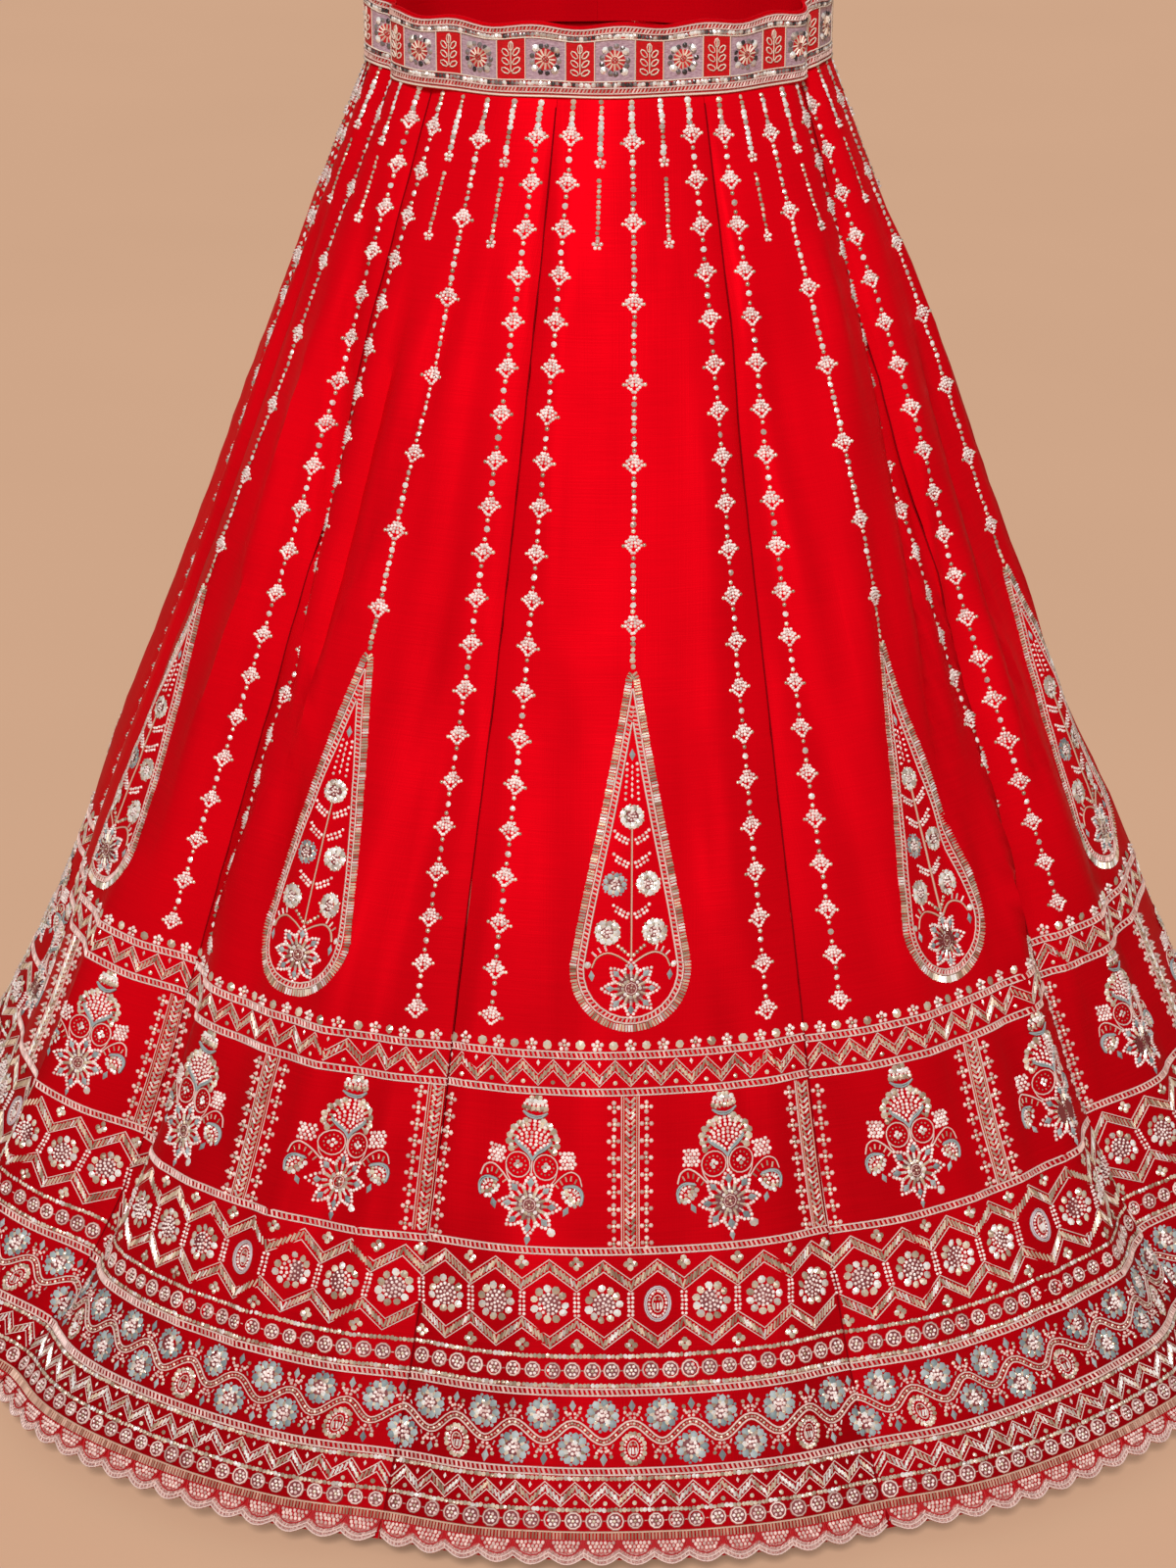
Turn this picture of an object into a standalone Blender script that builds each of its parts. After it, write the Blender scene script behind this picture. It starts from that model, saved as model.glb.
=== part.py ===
"""Lehenga skirt: ten flared panels under a stiff waistband, with scalloped lace along the hem.

The skirt keeps the hollow form that it has when it is worn. Metres, +Z up. The origin is the centre of the
waistband, where the wearer's waist holds the skirt. The front of the skirt faces -Y.
"""

import math

import bpy
import numpy as np

# ---------------------------------------------------------------- driving dimensions
BAND_HEIGHT = 0.051
BAND_BOTTOM = -BAND_HEIGHT / 2
SKIRT_DROP = 0.928  # height from the waist seam to the hem
CLOTH_WALL = 0.002
FACING_WALL = 0.0014
LACE_WALL = 0.0012
GAP = 0.0003  # between neighbouring pieces
PANELS = 10
PANEL_ANGLE = math.radians(360 / PANELS)

# Half widths of the skirt at a share of its drop: to the side (X) and to the front (Y).
SECTION_COLUMNS = ("share", "side", "front")
SECTIONS = (
    (0.00, 0.171, 0.123),
    (0.15, 0.227, 0.183),
    (0.35, 0.295, 0.258),
    (0.60, 0.391, 0.362),
    (0.80, 0.470, 0.450),
    (0.92, 0.534, 0.517),
    (1.00, 0.600, 0.576),
)

# The panels are turned a little towards +X round the waist, less so lower down.
TURN_WAIST = math.radians(8.2)
TURN_HEM = math.radians(2.6)

# How far each panel's middle stands out of the skirt's oval at the hem, counted from the front towards +X.
FULLNESS = (0.0, 0.006, 0.018, 0.004, 0.010, 0.002, 0.012, 0.004, 0.006, 0.002)
FULLNESS_GROWTH = 1.6

# One row for each seam, counted from the front towards +X. The cloth folds inwards along it, and the depths are
# at the waist, at the deep share of the drop, and at the hem.
SEAM_COLUMNS = ("angle_deg", "waist_depth", "deep_depth", "hem_depth", "width_deg")
SEAMS = (
    (18, 0.0010, 0.009, 0.010, 5.0),
    (54, 0.0060, 0.036, 0.027, 5.5),
    (90, 0.0030, 0.024, 0.026, 6.5),
    (126, 0.0040, 0.027, 0.034, 6.0),
    (162, 0.0020, 0.018, 0.024, 6.5),
    (198, 0.0020, 0.022, 0.028, 6.0),
    (234, 0.0040, 0.021, 0.025, 6.5),
    (270, 0.0030, 0.028, 0.030, 6.0),
    (306, 0.0060, 0.034, 0.020, 5.5),
    (342, 0.0010, 0.010, 0.012, 5.0),
)
DEEP_SHARE = 0.8
HEM_SAG = 0.3  # share of a fold's depth by which the hem hangs lower in it

# The waistband is tucked at each side, and rides higher behind the tucks.
TUCK_ANGLES = (math.radians(66), math.radians(294))
TUCK_DEPTH = 0.007
TUCK_WIDTH = math.radians(3.0)
BACK_LIFT = 0.006
LIFT_SPREAD = math.radians(7)
RIPPLE = 0.0014  # the band's soft waves, in and out
RIPPLE_TURNS = 13
TOP_WAVE = 0.0016  # the top edge's waves, up and down
TOP_WAVE_TURNS = 17
WAIST_REACH = 0.3  # share of the drop over which the band's shape fades out of the cloth

PIPING_RADIUS = 0.0012
PIPING_SIDES = 5
FACING_STAND = 0.0015  # the facing's edge stands above the band

HEM_LENGTH = 1.031  # along the cloth, from the waist seam to the panels' hem
LACE_TOP = 1.018
LACE_NOTCH = 1.0295
LACE_POINT = 1.0350
SCALLOPS = 15  # on each panel
SCALLOP_STEPS = 2

COLUMN_SHARES = (0.0, 0.05, 0.13, 0.25, 0.41, 0.59, 0.75, 0.87, 0.95, 1.0)
ROW_SHARES = (0.0, 0.04, 0.12, 0.22, 0.34, 0.47, 0.60, 0.71, 0.80, 0.87, 0.925, 0.965, 0.985, 1.0)

SILK = ("silk", (0.68, 0.004, 0.010), 0.38, 0.0)
BAND_CLOTH = ("embroidered_band", (0.45, 0.24, 0.25), 0.45, 0.2)
LACE_CLOTH = ("lace", (0.62, 0.42, 0.38), 0.55, 0.1)
GOLD_CORD = ("gold_cord", (0.78, 0.58, 0.36), 0.35, 0.7)


# ---------------------------------------------------------------- the surface of the cloth
def smooth_through(shares, values, at):
    """Values at the shares `at` on a smooth curve through the table's own values."""
    slopes = np.gradient(values, shares)
    index = np.clip(np.searchsorted(shares, at, side="right") - 1, 0, len(shares) - 2)
    span = shares[index + 1] - shares[index]
    u = (at - shares[index]) / span
    rise = values[index] * (2 * u**3 - 3 * u**2 + 1) + values[index + 1] * (3 * u**2 - 2 * u**3)
    bend = slopes[index] * (u**3 - 2 * u**2 + u) + slopes[index + 1] * (u**3 - u**2)
    return rise + bend * span


def half_widths(share):
    table = np.array(SECTIONS)
    side = smooth_through(table[:, 0], table[:, 1], share)
    front = smooth_through(table[:, 0], table[:, 2], share)
    return side, front


def angle_between(a, b):
    return (a - b + math.pi) % (2 * math.pi) - math.pi


def turn_at(share):
    """Angle by which the panels are turned at a share of the drop."""
    return TURN_HEM + (TURN_WAIST - TURN_HEM) * (1 - share) ** 2


def fold_depth(angle, share):
    """How far the folds along the seams draw the cloth inwards."""
    depth = np.zeros(np.broadcast(angle, share).shape)
    across = angle - turn_at(share)
    upper = np.clip(share / DEEP_SHARE, 0, 1) ** 1.2
    lower = np.clip((share - DEEP_SHARE) / (1 - DEEP_SHARE), 0, 1)
    lower = lower * lower * (3 - 2 * lower)
    for seam_deg, waist_depth, deep_depth, hem_depth, width_deg in SEAMS:
        away = angle_between(across, math.radians(seam_deg)) / math.radians(width_deg)
        deepest = waist_depth + (deep_depth - waist_depth) * upper + (hem_depth - deep_depth) * lower
        depth = depth + deepest * np.exp(-(away**2))
    return depth


def panel_fullness(angle, share):
    """How far the panels' middles stand out."""
    out = np.zeros(np.broadcast(angle, share).shape)
    across = angle - turn_at(share)
    for index, full in enumerate(FULLNESS):
        u = np.clip(angle_between(across, index * PANEL_ANGLE) / PANEL_ANGLE, -1, 1)
        out = out + full * share**FULLNESS_GROWTH * np.cos(u * math.pi / 2) ** 2
    return out


def band_offset(angle):
    """How far the waistband stands out of its oval: soft ripples, and a tuck at each side."""
    offset = RIPPLE * np.sin(RIPPLE_TURNS * angle + 0.7)
    for tuck in TUCK_ANGLES:
        offset = offset - TUCK_DEPTH * np.exp(-((angle_between(angle, tuck) / TUCK_WIDTH) ** 2))
    return offset


def band_lift(angle):
    """How much higher the band rides behind its tucks."""
    behind = np.abs(angle_between(angle, 0.0)) - TUCK_ANGLES[0]
    u = np.clip(behind / LIFT_SPREAD * 0.5 + 0.5, 0, 1)
    return BACK_LIFT * u * u * (3 - 2 * u)


def skirt_point(angle, share):
    """The outer face of the cloth at an angle round the waist and a share of the drop."""
    angle, share = np.broadcast_arrays(np.asarray(angle, float), np.asarray(share, float))
    side, front = half_widths(share)
    waist = np.clip(1 - share / WAIST_REACH, 0, 1) ** 2
    fold = fold_depth(angle, share)
    move = band_offset(angle) * waist + panel_fullness(angle, share) - fold
    x = (side + move) * np.sin(angle)
    y = -(front + move) * np.cos(angle)
    sag = HEM_SAG * fold * np.clip(share, 0, 1)
    z = BAND_BOTTOM + band_lift(angle) * (1 - share) ** 2 - SKIRT_DROP * share - sag
    return np.stack([x, y, z], axis=-1)


def band_point(angle, height, out):
    """A point of the waistband: height from 0 at its lower edge to 1 at its top, moved out from its outer face."""
    angle, height = np.broadcast_arrays(np.asarray(angle, float), np.asarray(height, float))
    side, front = half_widths(np.zeros(angle.shape))
    move = band_offset(angle) + out
    wave = TOP_WAVE * np.sin(TOP_WAVE_TURNS * angle) * height
    z = BAND_BOTTOM + band_lift(angle) + BAND_HEIGHT * height + wave
    return np.stack([(side + move) * np.sin(angle), -(front + move) * np.cos(angle), z], axis=-1)


def outward(angle, share):
    """The cloth's outward normal."""
    step = 1e-4
    across = skirt_point(angle + step, share) - skirt_point(angle - step, share)
    down = skirt_point(angle, share + step) - skirt_point(angle, share - step)
    normal = np.cross(down, across)
    return normal / np.linalg.norm(normal, axis=-1, keepdims=True)


def length_to_share():
    """Share of the drop for a length down the middle of the front, as two matching lists."""
    share = np.linspace(0, 1.02, 800)
    points = skirt_point(np.zeros(800), share)
    steps = np.linalg.norm(np.diff(points, axis=0), axis=1)
    return np.concatenate([[0], np.cumsum(steps)]), share


def share_at(length):
    lengths, shares = length_to_share()
    return np.interp(length, lengths, shares)


# ---------------------------------------------------------------- meshes
def material(finish):
    name, colour, roughness, metallic = finish
    found = bpy.data.materials.get(name)
    if found:
        return found
    made = bpy.data.materials.new(name)
    made.use_nodes = True
    shader = made.node_tree.nodes["Principled BSDF"]
    shader.inputs["Base Color"].default_value = (*colour, 1.0)
    shader.inputs["Roughness"].default_value = roughness
    shader.inputs["Metallic"].default_value = metallic
    return made


def add_object(name, points, faces, finish):
    mesh = bpy.data.meshes.new(name)
    mesh.from_pydata(points.tolist(), [], faces)
    mesh.materials.append(material(finish))
    mesh.shade_smooth()
    mesh.set_sharp_from_angle(angle=math.radians(50))
    piece = bpy.data.objects.new(name, mesh)
    bpy.context.scene.collection.objects.link(piece)
    return piece


def wall_faces(rows, columns, ring):
    """Quads of a wall between an outer grid and an inner one, each rows x columns points, top row first."""
    inner = rows * columns
    spans = columns if ring else columns - 1
    faces = []
    for column in range(spans):
        after = (column + 1) % columns
        for row in range(rows - 1):
            a, b = row * columns + column, row * columns + after
            c, d = b + columns, a + columns
            faces.append((a, d, c, b))
            faces.append((inner + a, inner + b, inner + c, inner + d))
        last = (rows - 1) * columns
        faces.append((column, after, inner + after, inner + column))
        faces.append((last + column, inner + last + column, inner + last + after, last + after))
    if not ring:
        right = columns - 1
        for row in range(rows - 1):
            a, b = row * columns, (row + 1) * columns
            faces.append((a, inner + a, inner + b, b))
            faces.append((a + right, b + right, inner + b + right, inner + a + right))
    return faces


def panel_angles(index, shares):
    """Angles across a panel, kept half a gap inside its two seams at each share of the drop."""
    middle = index * PANEL_ANGLE + turn_at(shares)
    side, front = half_widths(shares)
    keep = (GAP / 2) / np.minimum(side, front)
    reach = PANEL_ANGLE - 2 * keep
    columns = np.array(COLUMN_SHARES)
    return (middle - reach / 2)[:, None] + reach[:, None] * columns[None, :]


def panel_grid(index):
    """Outer points and outward normals of a panel: a row for each share, a column across."""
    top = GAP / SKIRT_DROP
    hem = share_at(HEM_LENGTH)
    shares = top + (hem - top) * np.array(ROW_SHARES)
    angles = panel_angles(index, shares)
    grid_shares = np.repeat(shares[:, None], len(COLUMN_SHARES), axis=1)
    return shares, skirt_point(angles, grid_shares), outward(angles, grid_shares)


def make_panel(index):
    _, outer, normals = panel_grid(index)
    inner = outer - CLOTH_WALL * normals
    rows, columns, _ = outer.shape
    points = np.concatenate([outer.reshape(-1, 3), inner.reshape(-1, 3)])
    add_object(f"kali_{index + 1:02d}", points, wall_faces(rows, columns, False), SILK)


def make_hem_lace(index):
    """The lace lies on the panel's facets near the hem, and its scallops hang just below them."""
    shares, outer, normals = panel_grid(index)
    steps = SCALLOPS * SCALLOP_STEPS
    across = np.linspace(0, 1, steps + 1)
    turn = across * SCALLOPS * math.pi
    lower = LACE_NOTCH + (LACE_POINT - LACE_NOTCH) * np.abs(np.sin(turn))

    def on_facets(length):
        row = (share_at(length) - shares[-2]) / (shares[-1] - shares[-2])
        found = []
        for grid in (outer, normals):
            line = grid[-2] + (grid[-1] - grid[-2]) * np.broadcast_to(row, across.shape)[:, None][:1]
            found.append(np.stack([np.interp(across, COLUMN_SHARES, line[:, k]) for k in range(3)], axis=1))
        down = np.stack([np.interp(across, COLUMN_SHARES, (outer[-1] - outer[-2])[:, k]) for k in range(3)], axis=1)
        return found[0], found[1], down / np.linalg.norm(down, axis=1, keepdims=True)

    top, normal, down = on_facets(LACE_TOP)
    bottom = top + down * (lower - LACE_TOP)[:, None]
    near = [edge + normal * GAP * 4 for edge in (top, bottom)]
    far = [edge + normal * LACE_WALL for edge in near]
    points = np.concatenate([*far, *near])
    add_object(f"hem_lace_{index + 1:02d}", points, wall_faces(2, steps + 1, False), LACE_CLOTH)


def ring_angles():
    """The same angles as the panels' columns, so that the band's facets meet theirs."""
    columns = (np.array(COLUMN_SHARES[:-1]) - 0.5) * PANEL_ANGLE + TURN_WAIST
    return np.concatenate([index * PANEL_ANGLE + columns for index in range(PANELS)])


def make_band(name, heights, outer_move, wall, finish, stand=0.0):
    angles = ring_angles()
    grids = []
    for move in (outer_move, outer_move - wall):
        rows = [band_point(angles, height, move) for height in heights]
        rows[0][:, 2] += stand
        grids.append(np.stack(rows))
    points = np.concatenate([grid.reshape(-1, 3) for grid in grids])
    add_object(name, points, wall_faces(len(heights), len(angles), True), finish)


def make_piping():
    """A cord round the band's lower edge, just clear of its outer face."""
    angles = ring_angles()
    centre_out = PIPING_RADIUS + 2 * GAP
    rings = []
    for side in range(PIPING_SIDES):
        turn = 2 * math.pi * side / PIPING_SIDES
        ring = band_point(angles, 0.0, centre_out + PIPING_RADIUS * math.cos(turn))
        ring[:, 2] += PIPING_RADIUS * (1 + math.sin(turn))
        rings.append(ring)
    count = len(angles)
    faces = []
    for side in range(PIPING_SIDES):
        a, b = side * count, (side + 1) % PIPING_SIDES * count
        for column in range(count):
            after = (column + 1) % count
            faces.append((a + column, a + after, b + after, b + column))
    add_object("waist_piping", np.concatenate(rings), faces, GOLD_CORD)


def main():
    for old in list(bpy.data.objects):
        bpy.data.objects.remove(old)
    for index in range(PANELS):
        make_panel(index)
        make_hem_lace(index)
    make_band("waistband", (1.0, 0.5, 0.0), 0.0, CLOTH_WALL, BAND_CLOTH)
    make_band("waist_facing", (1.0, 0.0), -CLOTH_WALL - GAP, FACING_WALL, SILK, FACING_STAND)
    make_piping()


main()
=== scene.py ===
# %% [markdown]
# # A panelled bridal skirt in red silk
# A lehenga is a floor-length skirt cut in flared panels, called kalis, and sewn to a stiff waistband. This lesson
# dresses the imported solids: thin silk shells with soft creases take the place of the panels, and beads, sequins and
# cords are sewn on them by Geometry Nodes. Everything is in metres, with the front of the skirt facing -Y.

import math

import bpy
import numpy as np
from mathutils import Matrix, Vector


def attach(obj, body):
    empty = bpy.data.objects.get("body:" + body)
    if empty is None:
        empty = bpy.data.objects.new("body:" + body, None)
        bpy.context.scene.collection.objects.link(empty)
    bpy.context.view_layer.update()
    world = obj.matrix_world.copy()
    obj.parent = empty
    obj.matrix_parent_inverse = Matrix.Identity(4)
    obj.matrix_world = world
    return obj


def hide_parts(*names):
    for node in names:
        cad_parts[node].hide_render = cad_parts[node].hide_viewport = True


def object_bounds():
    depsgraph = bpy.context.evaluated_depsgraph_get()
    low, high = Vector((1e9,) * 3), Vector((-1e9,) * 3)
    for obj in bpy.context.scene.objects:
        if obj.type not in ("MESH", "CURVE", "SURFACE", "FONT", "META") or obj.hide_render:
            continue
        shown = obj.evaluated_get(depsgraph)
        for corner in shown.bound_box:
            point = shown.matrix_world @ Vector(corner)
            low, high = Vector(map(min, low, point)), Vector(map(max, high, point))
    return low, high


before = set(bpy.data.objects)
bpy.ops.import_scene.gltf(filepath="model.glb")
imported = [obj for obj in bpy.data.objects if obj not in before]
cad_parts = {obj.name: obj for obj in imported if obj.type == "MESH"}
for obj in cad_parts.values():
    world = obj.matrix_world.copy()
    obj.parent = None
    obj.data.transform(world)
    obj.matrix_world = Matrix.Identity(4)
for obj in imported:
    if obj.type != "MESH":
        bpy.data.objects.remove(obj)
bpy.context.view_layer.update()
MM = 0.001

# %% [markdown]
# ## The form of the cloth
# The silk has to follow the solids, so the same sizes make both: a table of half widths down the skirt, a fold along
# each seam, and a little extra fullness in the middle of each panel. A surface is then one function of two numbers,
# the angle round the waist and the share of the way down.

# %% The skirt's sizes
BAND_HEIGHT = 0.051
BAND_BOTTOM = -BAND_HEIGHT / 2
SKIRT_DROP = 0.928
GAP = 0.0003
PANELS = 10
PANEL_ANGLE = math.radians(360 / PANELS)
HEM_LENGTH = 1.031
LACE_TOP, LACE_NOTCH, LACE_POINT, SCALLOPS = 1.018, 1.0295, 1.0350, 15

SECTION_COLUMNS = ("share", "side", "front")
SECTIONS = np.array((
    (0.00, 0.171, 0.123),
    (0.15, 0.227, 0.183),
    (0.35, 0.295, 0.258),
    (0.60, 0.391, 0.362),
    (0.80, 0.470, 0.450),
    (0.92, 0.534, 0.517),
    (1.00, 0.600, 0.576),
))
SEAM_COLUMNS = ("angle_deg", "waist_depth", "deep_depth", "hem_depth", "width_deg")
SEAMS = (
    (18, 0.0010, 0.009, 0.010, 5.0),
    (54, 0.0060, 0.036, 0.027, 5.5),
    (90, 0.0030, 0.024, 0.026, 6.5),
    (126, 0.0040, 0.027, 0.034, 6.0),
    (162, 0.0020, 0.018, 0.024, 6.5),
    (198, 0.0020, 0.022, 0.028, 6.0),
    (234, 0.0040, 0.021, 0.025, 6.5),
    (270, 0.0030, 0.028, 0.030, 6.0),
    (306, 0.0060, 0.034, 0.020, 5.5),
    (342, 0.0010, 0.010, 0.012, 5.0),
)
DEEP_SHARE = 0.8
HEM_SAG = 0.3
FULLNESS = (0.0, 0.006, 0.018, 0.004, 0.010, 0.002, 0.012, 0.004, 0.006, 0.002)
FULLNESS_GROWTH = 1.6
TURN_WAIST, TURN_HEM = math.radians(8.2), math.radians(2.6)
TUCK_ANGLES = (math.radians(66), math.radians(294))
TUCK_DEPTH, TUCK_WIDTH = 0.007, math.radians(3.0)
BACK_LIFT, LIFT_SPREAD = 0.006, math.radians(7)
RIPPLE, RIPPLE_TURNS = 0.0014, 13
TOP_WAVE, TOP_WAVE_TURNS = 0.0016, 17
WAIST_REACH = 0.3
print(PANELS, "panels,", len(SEAMS), "seams")


# %% Surface of the skirt
def smooth_through(shares, values, at):
    slopes = np.gradient(values, shares)
    index = np.clip(np.searchsorted(shares, at, side="right") - 1, 0, len(shares) - 2)
    span = shares[index + 1] - shares[index]
    u = (at - shares[index]) / span
    rise = values[index] * (2 * u**3 - 3 * u**2 + 1) + values[index + 1] * (3 * u**2 - 2 * u**3)
    return rise + span * (slopes[index] * (u**3 - 2 * u**2 + u) + slopes[index + 1] * (u**3 - u**2))


def half_widths(share):
    return (smooth_through(SECTIONS[:, 0], SECTIONS[:, k], share) for k in (1, 2))


def angle_between(a, b):
    return (a - b + math.pi) % (2 * math.pi) - math.pi


def turn_at(share):
    return TURN_HEM + (TURN_WAIST - TURN_HEM) * (1 - share) ** 2


def ease(u):
    u = np.clip(u, 0, 1)
    return u * u * (3 - 2 * u)


def fold_depth(across, share):
    depth = 0.0
    for seam_deg, waist_depth, deep_depth, hem_depth, width_deg in SEAMS:
        away = angle_between(across, math.radians(seam_deg)) / math.radians(width_deg)
        deepest = waist_depth + (deep_depth - waist_depth) * np.clip(share / DEEP_SHARE, 0, 1) ** 1.2
        deepest = deepest + (hem_depth - deep_depth) * ease((share - DEEP_SHARE) / (1 - DEEP_SHARE))
        depth = depth + deepest * np.exp(-(away**2))
    return depth


def panel_fullness(across, share):
    out = 0.0
    for index, full in enumerate(FULLNESS):
        u = np.clip(angle_between(across, index * PANEL_ANGLE) / PANEL_ANGLE, -1, 1)
        out = out + full * np.clip(share, 0, None) ** FULLNESS_GROWTH * np.cos(u * math.pi / 2) ** 2
    return out


def band_offset(angle):
    offset = RIPPLE * np.sin(RIPPLE_TURNS * angle + 0.7)
    for tuck in TUCK_ANGLES:
        offset = offset - TUCK_DEPTH * np.exp(-((angle_between(angle, tuck) / TUCK_WIDTH) ** 2))
    return offset


def band_lift(angle):
    return BACK_LIFT * ease((np.abs(angle_between(angle, 0.0)) - TUCK_ANGLES[0]) / LIFT_SPREAD * 0.5 + 0.5)


def skirt_point(angle, share):
    angle, share = np.broadcast_arrays(np.asarray(angle, float), np.asarray(share, float))
    side, front = half_widths(share)
    across = angle - turn_at(share)
    fold = fold_depth(across, share)
    move = band_offset(angle) * np.clip(1 - share / WAIST_REACH, 0, 1) ** 2 + panel_fullness(across, share) - fold
    z = BAND_BOTTOM + band_lift(angle) * (1 - share) ** 2 - SKIRT_DROP * share - HEM_SAG * fold * np.clip(share, 0, 1)
    return np.stack([(side + move) * np.sin(angle), -(front + move) * np.cos(angle), z], axis=-1)


front_shares = np.linspace(0, 1.02, 800)
front_lengths = np.linalg.norm(np.diff(skirt_point(np.zeros(800), front_shares), axis=0), axis=1)
front_lengths = np.concatenate([[0], np.cumsum(front_lengths)])


def share_at(length):
    """Share of the drop at a length down the cloth, measured from the waist seam down the front."""
    return np.interp(length, front_lengths, front_shares)


print("the cloth runs %.3f m down the front" % front_lengths[-1])

# %% [markdown]
# ## Creases
# Silk that carries heavy embroidery never hangs perfectly smooth. Its main creases are listed one by one: each row of
# this table is one soft ridge or trough, with its place round the skirt, where it starts and ends on the way down,
# how far it leans, how wide it is, and how high it stands. They are uneven on purpose.

# %% The table of creases
CREASE_COLUMNS = ("at_deg", "top", "foot", "lean_deg", "width_mm", "height_mm")
CREASES = (
    (-13.0, 0.02, 0.40, 2.0, 11, 1.5), (-9.5, 0.34, 0.76, 3.0, 16, -2.4), (-3.0, 0.46, 0.80, -2.0, 20, 2.0),
    (5.5, 0.40, 0.88, -3.0, 18, -2.2), (11.0, 0.16, 0.60, -2.0, 12, 2.2), (13.5, 0.62, 0.98, -1.5, 14, 2.6),
    (-8.0, 0.78, 1.00, 2.0, 18, 2.4), (2.5, 0.82, 1.00, 3.0, 15, -2.0), (22.5, 0.05, 0.50, 2.5, 11, 2.4),
    (26.5, 0.10, 0.62, 3.5, 13, -3.0), (31.5, 0.22, 0.78, -3.0, 15, 3.0), (37.5, 0.34, 0.70, 3.0, 18, -2.4),
    (41.0, 0.06, 0.42, 2.0, 10, 2.2), (45.5, 0.48, 0.96, -3.0, 17, 3.6), (29.0, 0.74, 1.00, 2.0, 17, -2.6),
    (38.0, 0.80, 1.00, -2.0, 16, 2.6), (60.0, 0.10, 0.70, 3.0, 14, 3.2), (66.5, 0.26, 0.86, -3.0, 16, -3.2),
    (73.0, 0.12, 0.56, 2.0, 13, 2.8), (79.0, 0.50, 1.00, -2.5, 18, 3.6), (84.0, 0.30, 0.80, 1.5, 13, -2.6),
    (98.0, 0.12, 0.66, 3.0, 15, 3.0), (105.0, 0.36, 0.98, -4.0, 18, -3.6), (113.0, 0.20, 0.74, 2.0, 14, 3.0),
    (119.0, 0.60, 1.00, -2.0, 16, 3.0), (133.0, 0.10, 0.58, 2.0, 13, 2.6), (140.5, 0.42, 0.98, -4.0, 19, -3.4),
    (147.0, 0.22, 0.80, 3.0, 15, 3.2), (155.0, 0.54, 1.00, 2.0, 16, -2.8), (170.0, 0.08, 0.60, -3.0, 13, 2.6),
    (177.5, 0.36, 0.90, 3.0, 18, -3.0), (185.0, 0.50, 1.00, -2.0, 17, 3.2), (191.0, 0.14, 0.66, 2.0, 12, 2.4),
    (205.0, 0.20, 0.84, -3.0, 16, 3.4), (213.0, 0.46, 1.00, 3.0, 19, -3.2), (221.0, 0.12, 0.56, 2.0, 13, 2.6),
    (227.0, 0.60, 1.00, -2.0, 15, 3.0), (241.0, 0.14, 0.72, 3.0, 15, -3.0), (249.5, 0.30, 0.98, -3.0, 18, 3.6),
    (258.0, 0.18, 0.64, 2.0, 13, 2.8), (275.5, 0.10, 0.66, -2.0, 14, 3.0), (281.0, 0.44, 0.98, 3.0, 18, -3.4),
    (288.0, 0.20, 0.72, -3.0, 15, 3.0), (295.0, 0.52, 1.00, 2.0, 15, 2.8), (299.5, 0.16, 0.56, 1.5, 11, -2.4),
    (311.5, 0.06, 0.52, 2.0, 12, 2.6), (316.0, 0.40, 0.94, -3.0, 17, -3.2), (322.0, 0.12, 0.60, 3.0, 14, 2.8),
    (328.5, 0.52, 1.00, -2.0, 17, 3.0), (333.0, 0.08, 0.46, 2.0, 11, -2.2), (336.5, 0.66, 1.00, 1.5, 13, 2.4),
    (-55.0, 0.03, 0.52, 18.0, 8, -5.2), (-36.5, 0.08, 0.36, -9.0, 7, -4.0), (-80.0, 0.06, 0.54, 0.0, 9, -5.0),
    (-45.0, 0.10, 0.52, -1.0, 7, -4.6), (-43.0, 0.25, 0.64, -14.0, 9, 4.2), (-63.0, 0.12, 0.60, 4.0, 8, 4.6),
    (48.0, 0.03, 0.62, -20.0, 8, -5.4), (37.0, 0.05, 0.46, -10.0, 13, 3.8), (64.0, 0.16, 0.62, -12.0, 8, -4.8),
    (53.0, 0.18, 0.66, -15.0, 8, 4.4), (75.0, 0.06, 0.50, 3.0, 9, 4.2), (-28.0, 0.30, 0.62, -3.0, 9, -2.4),
    (-37.0, 0.66, 0.94, -2.0, 10, 3.6), (-52.0, 0.62, 0.96, -3.0, 11, -4.0), (-66.0, 0.60, 1.00, 2.0, 11, 4.0),
    (35.0, 0.66, 0.96, 3.0, 10, -3.4), (52.0, 0.64, 0.98, 2.0, 11, 3.8), (67.0, 0.60, 1.00, -2.0, 11, -4.0),
    (-25.0, 0.36, 0.84, -7.0, 15, -5.0), (-30.5, 0.42, 0.90, -4.0, 12, 4.4), (-42.0, 0.44, 0.80, 5.0, 12, -4.6),
    (22.0, 0.16, 0.52, 5.0, 11, -4.2), (27.0, 0.22, 0.66, 6.0, 12, 4.0), (43.0, 0.46, 0.88, -6.0, 12, -4.6),
    (-16.0, 0.50, 0.82, -3.0, 12, 3.2), (9.0, 0.44, 0.74, 5.0, 14, -3.2), (58.0, 0.40, 0.80, -5.0, 10, 4.8),
)
print(len(CREASES), "creases")


# %% Creased cloth
CREASE_BOOST = 1.75  # the table's heights are for heavier silk, and this one stands up more
PUCKER = 0.7 * MM


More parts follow.
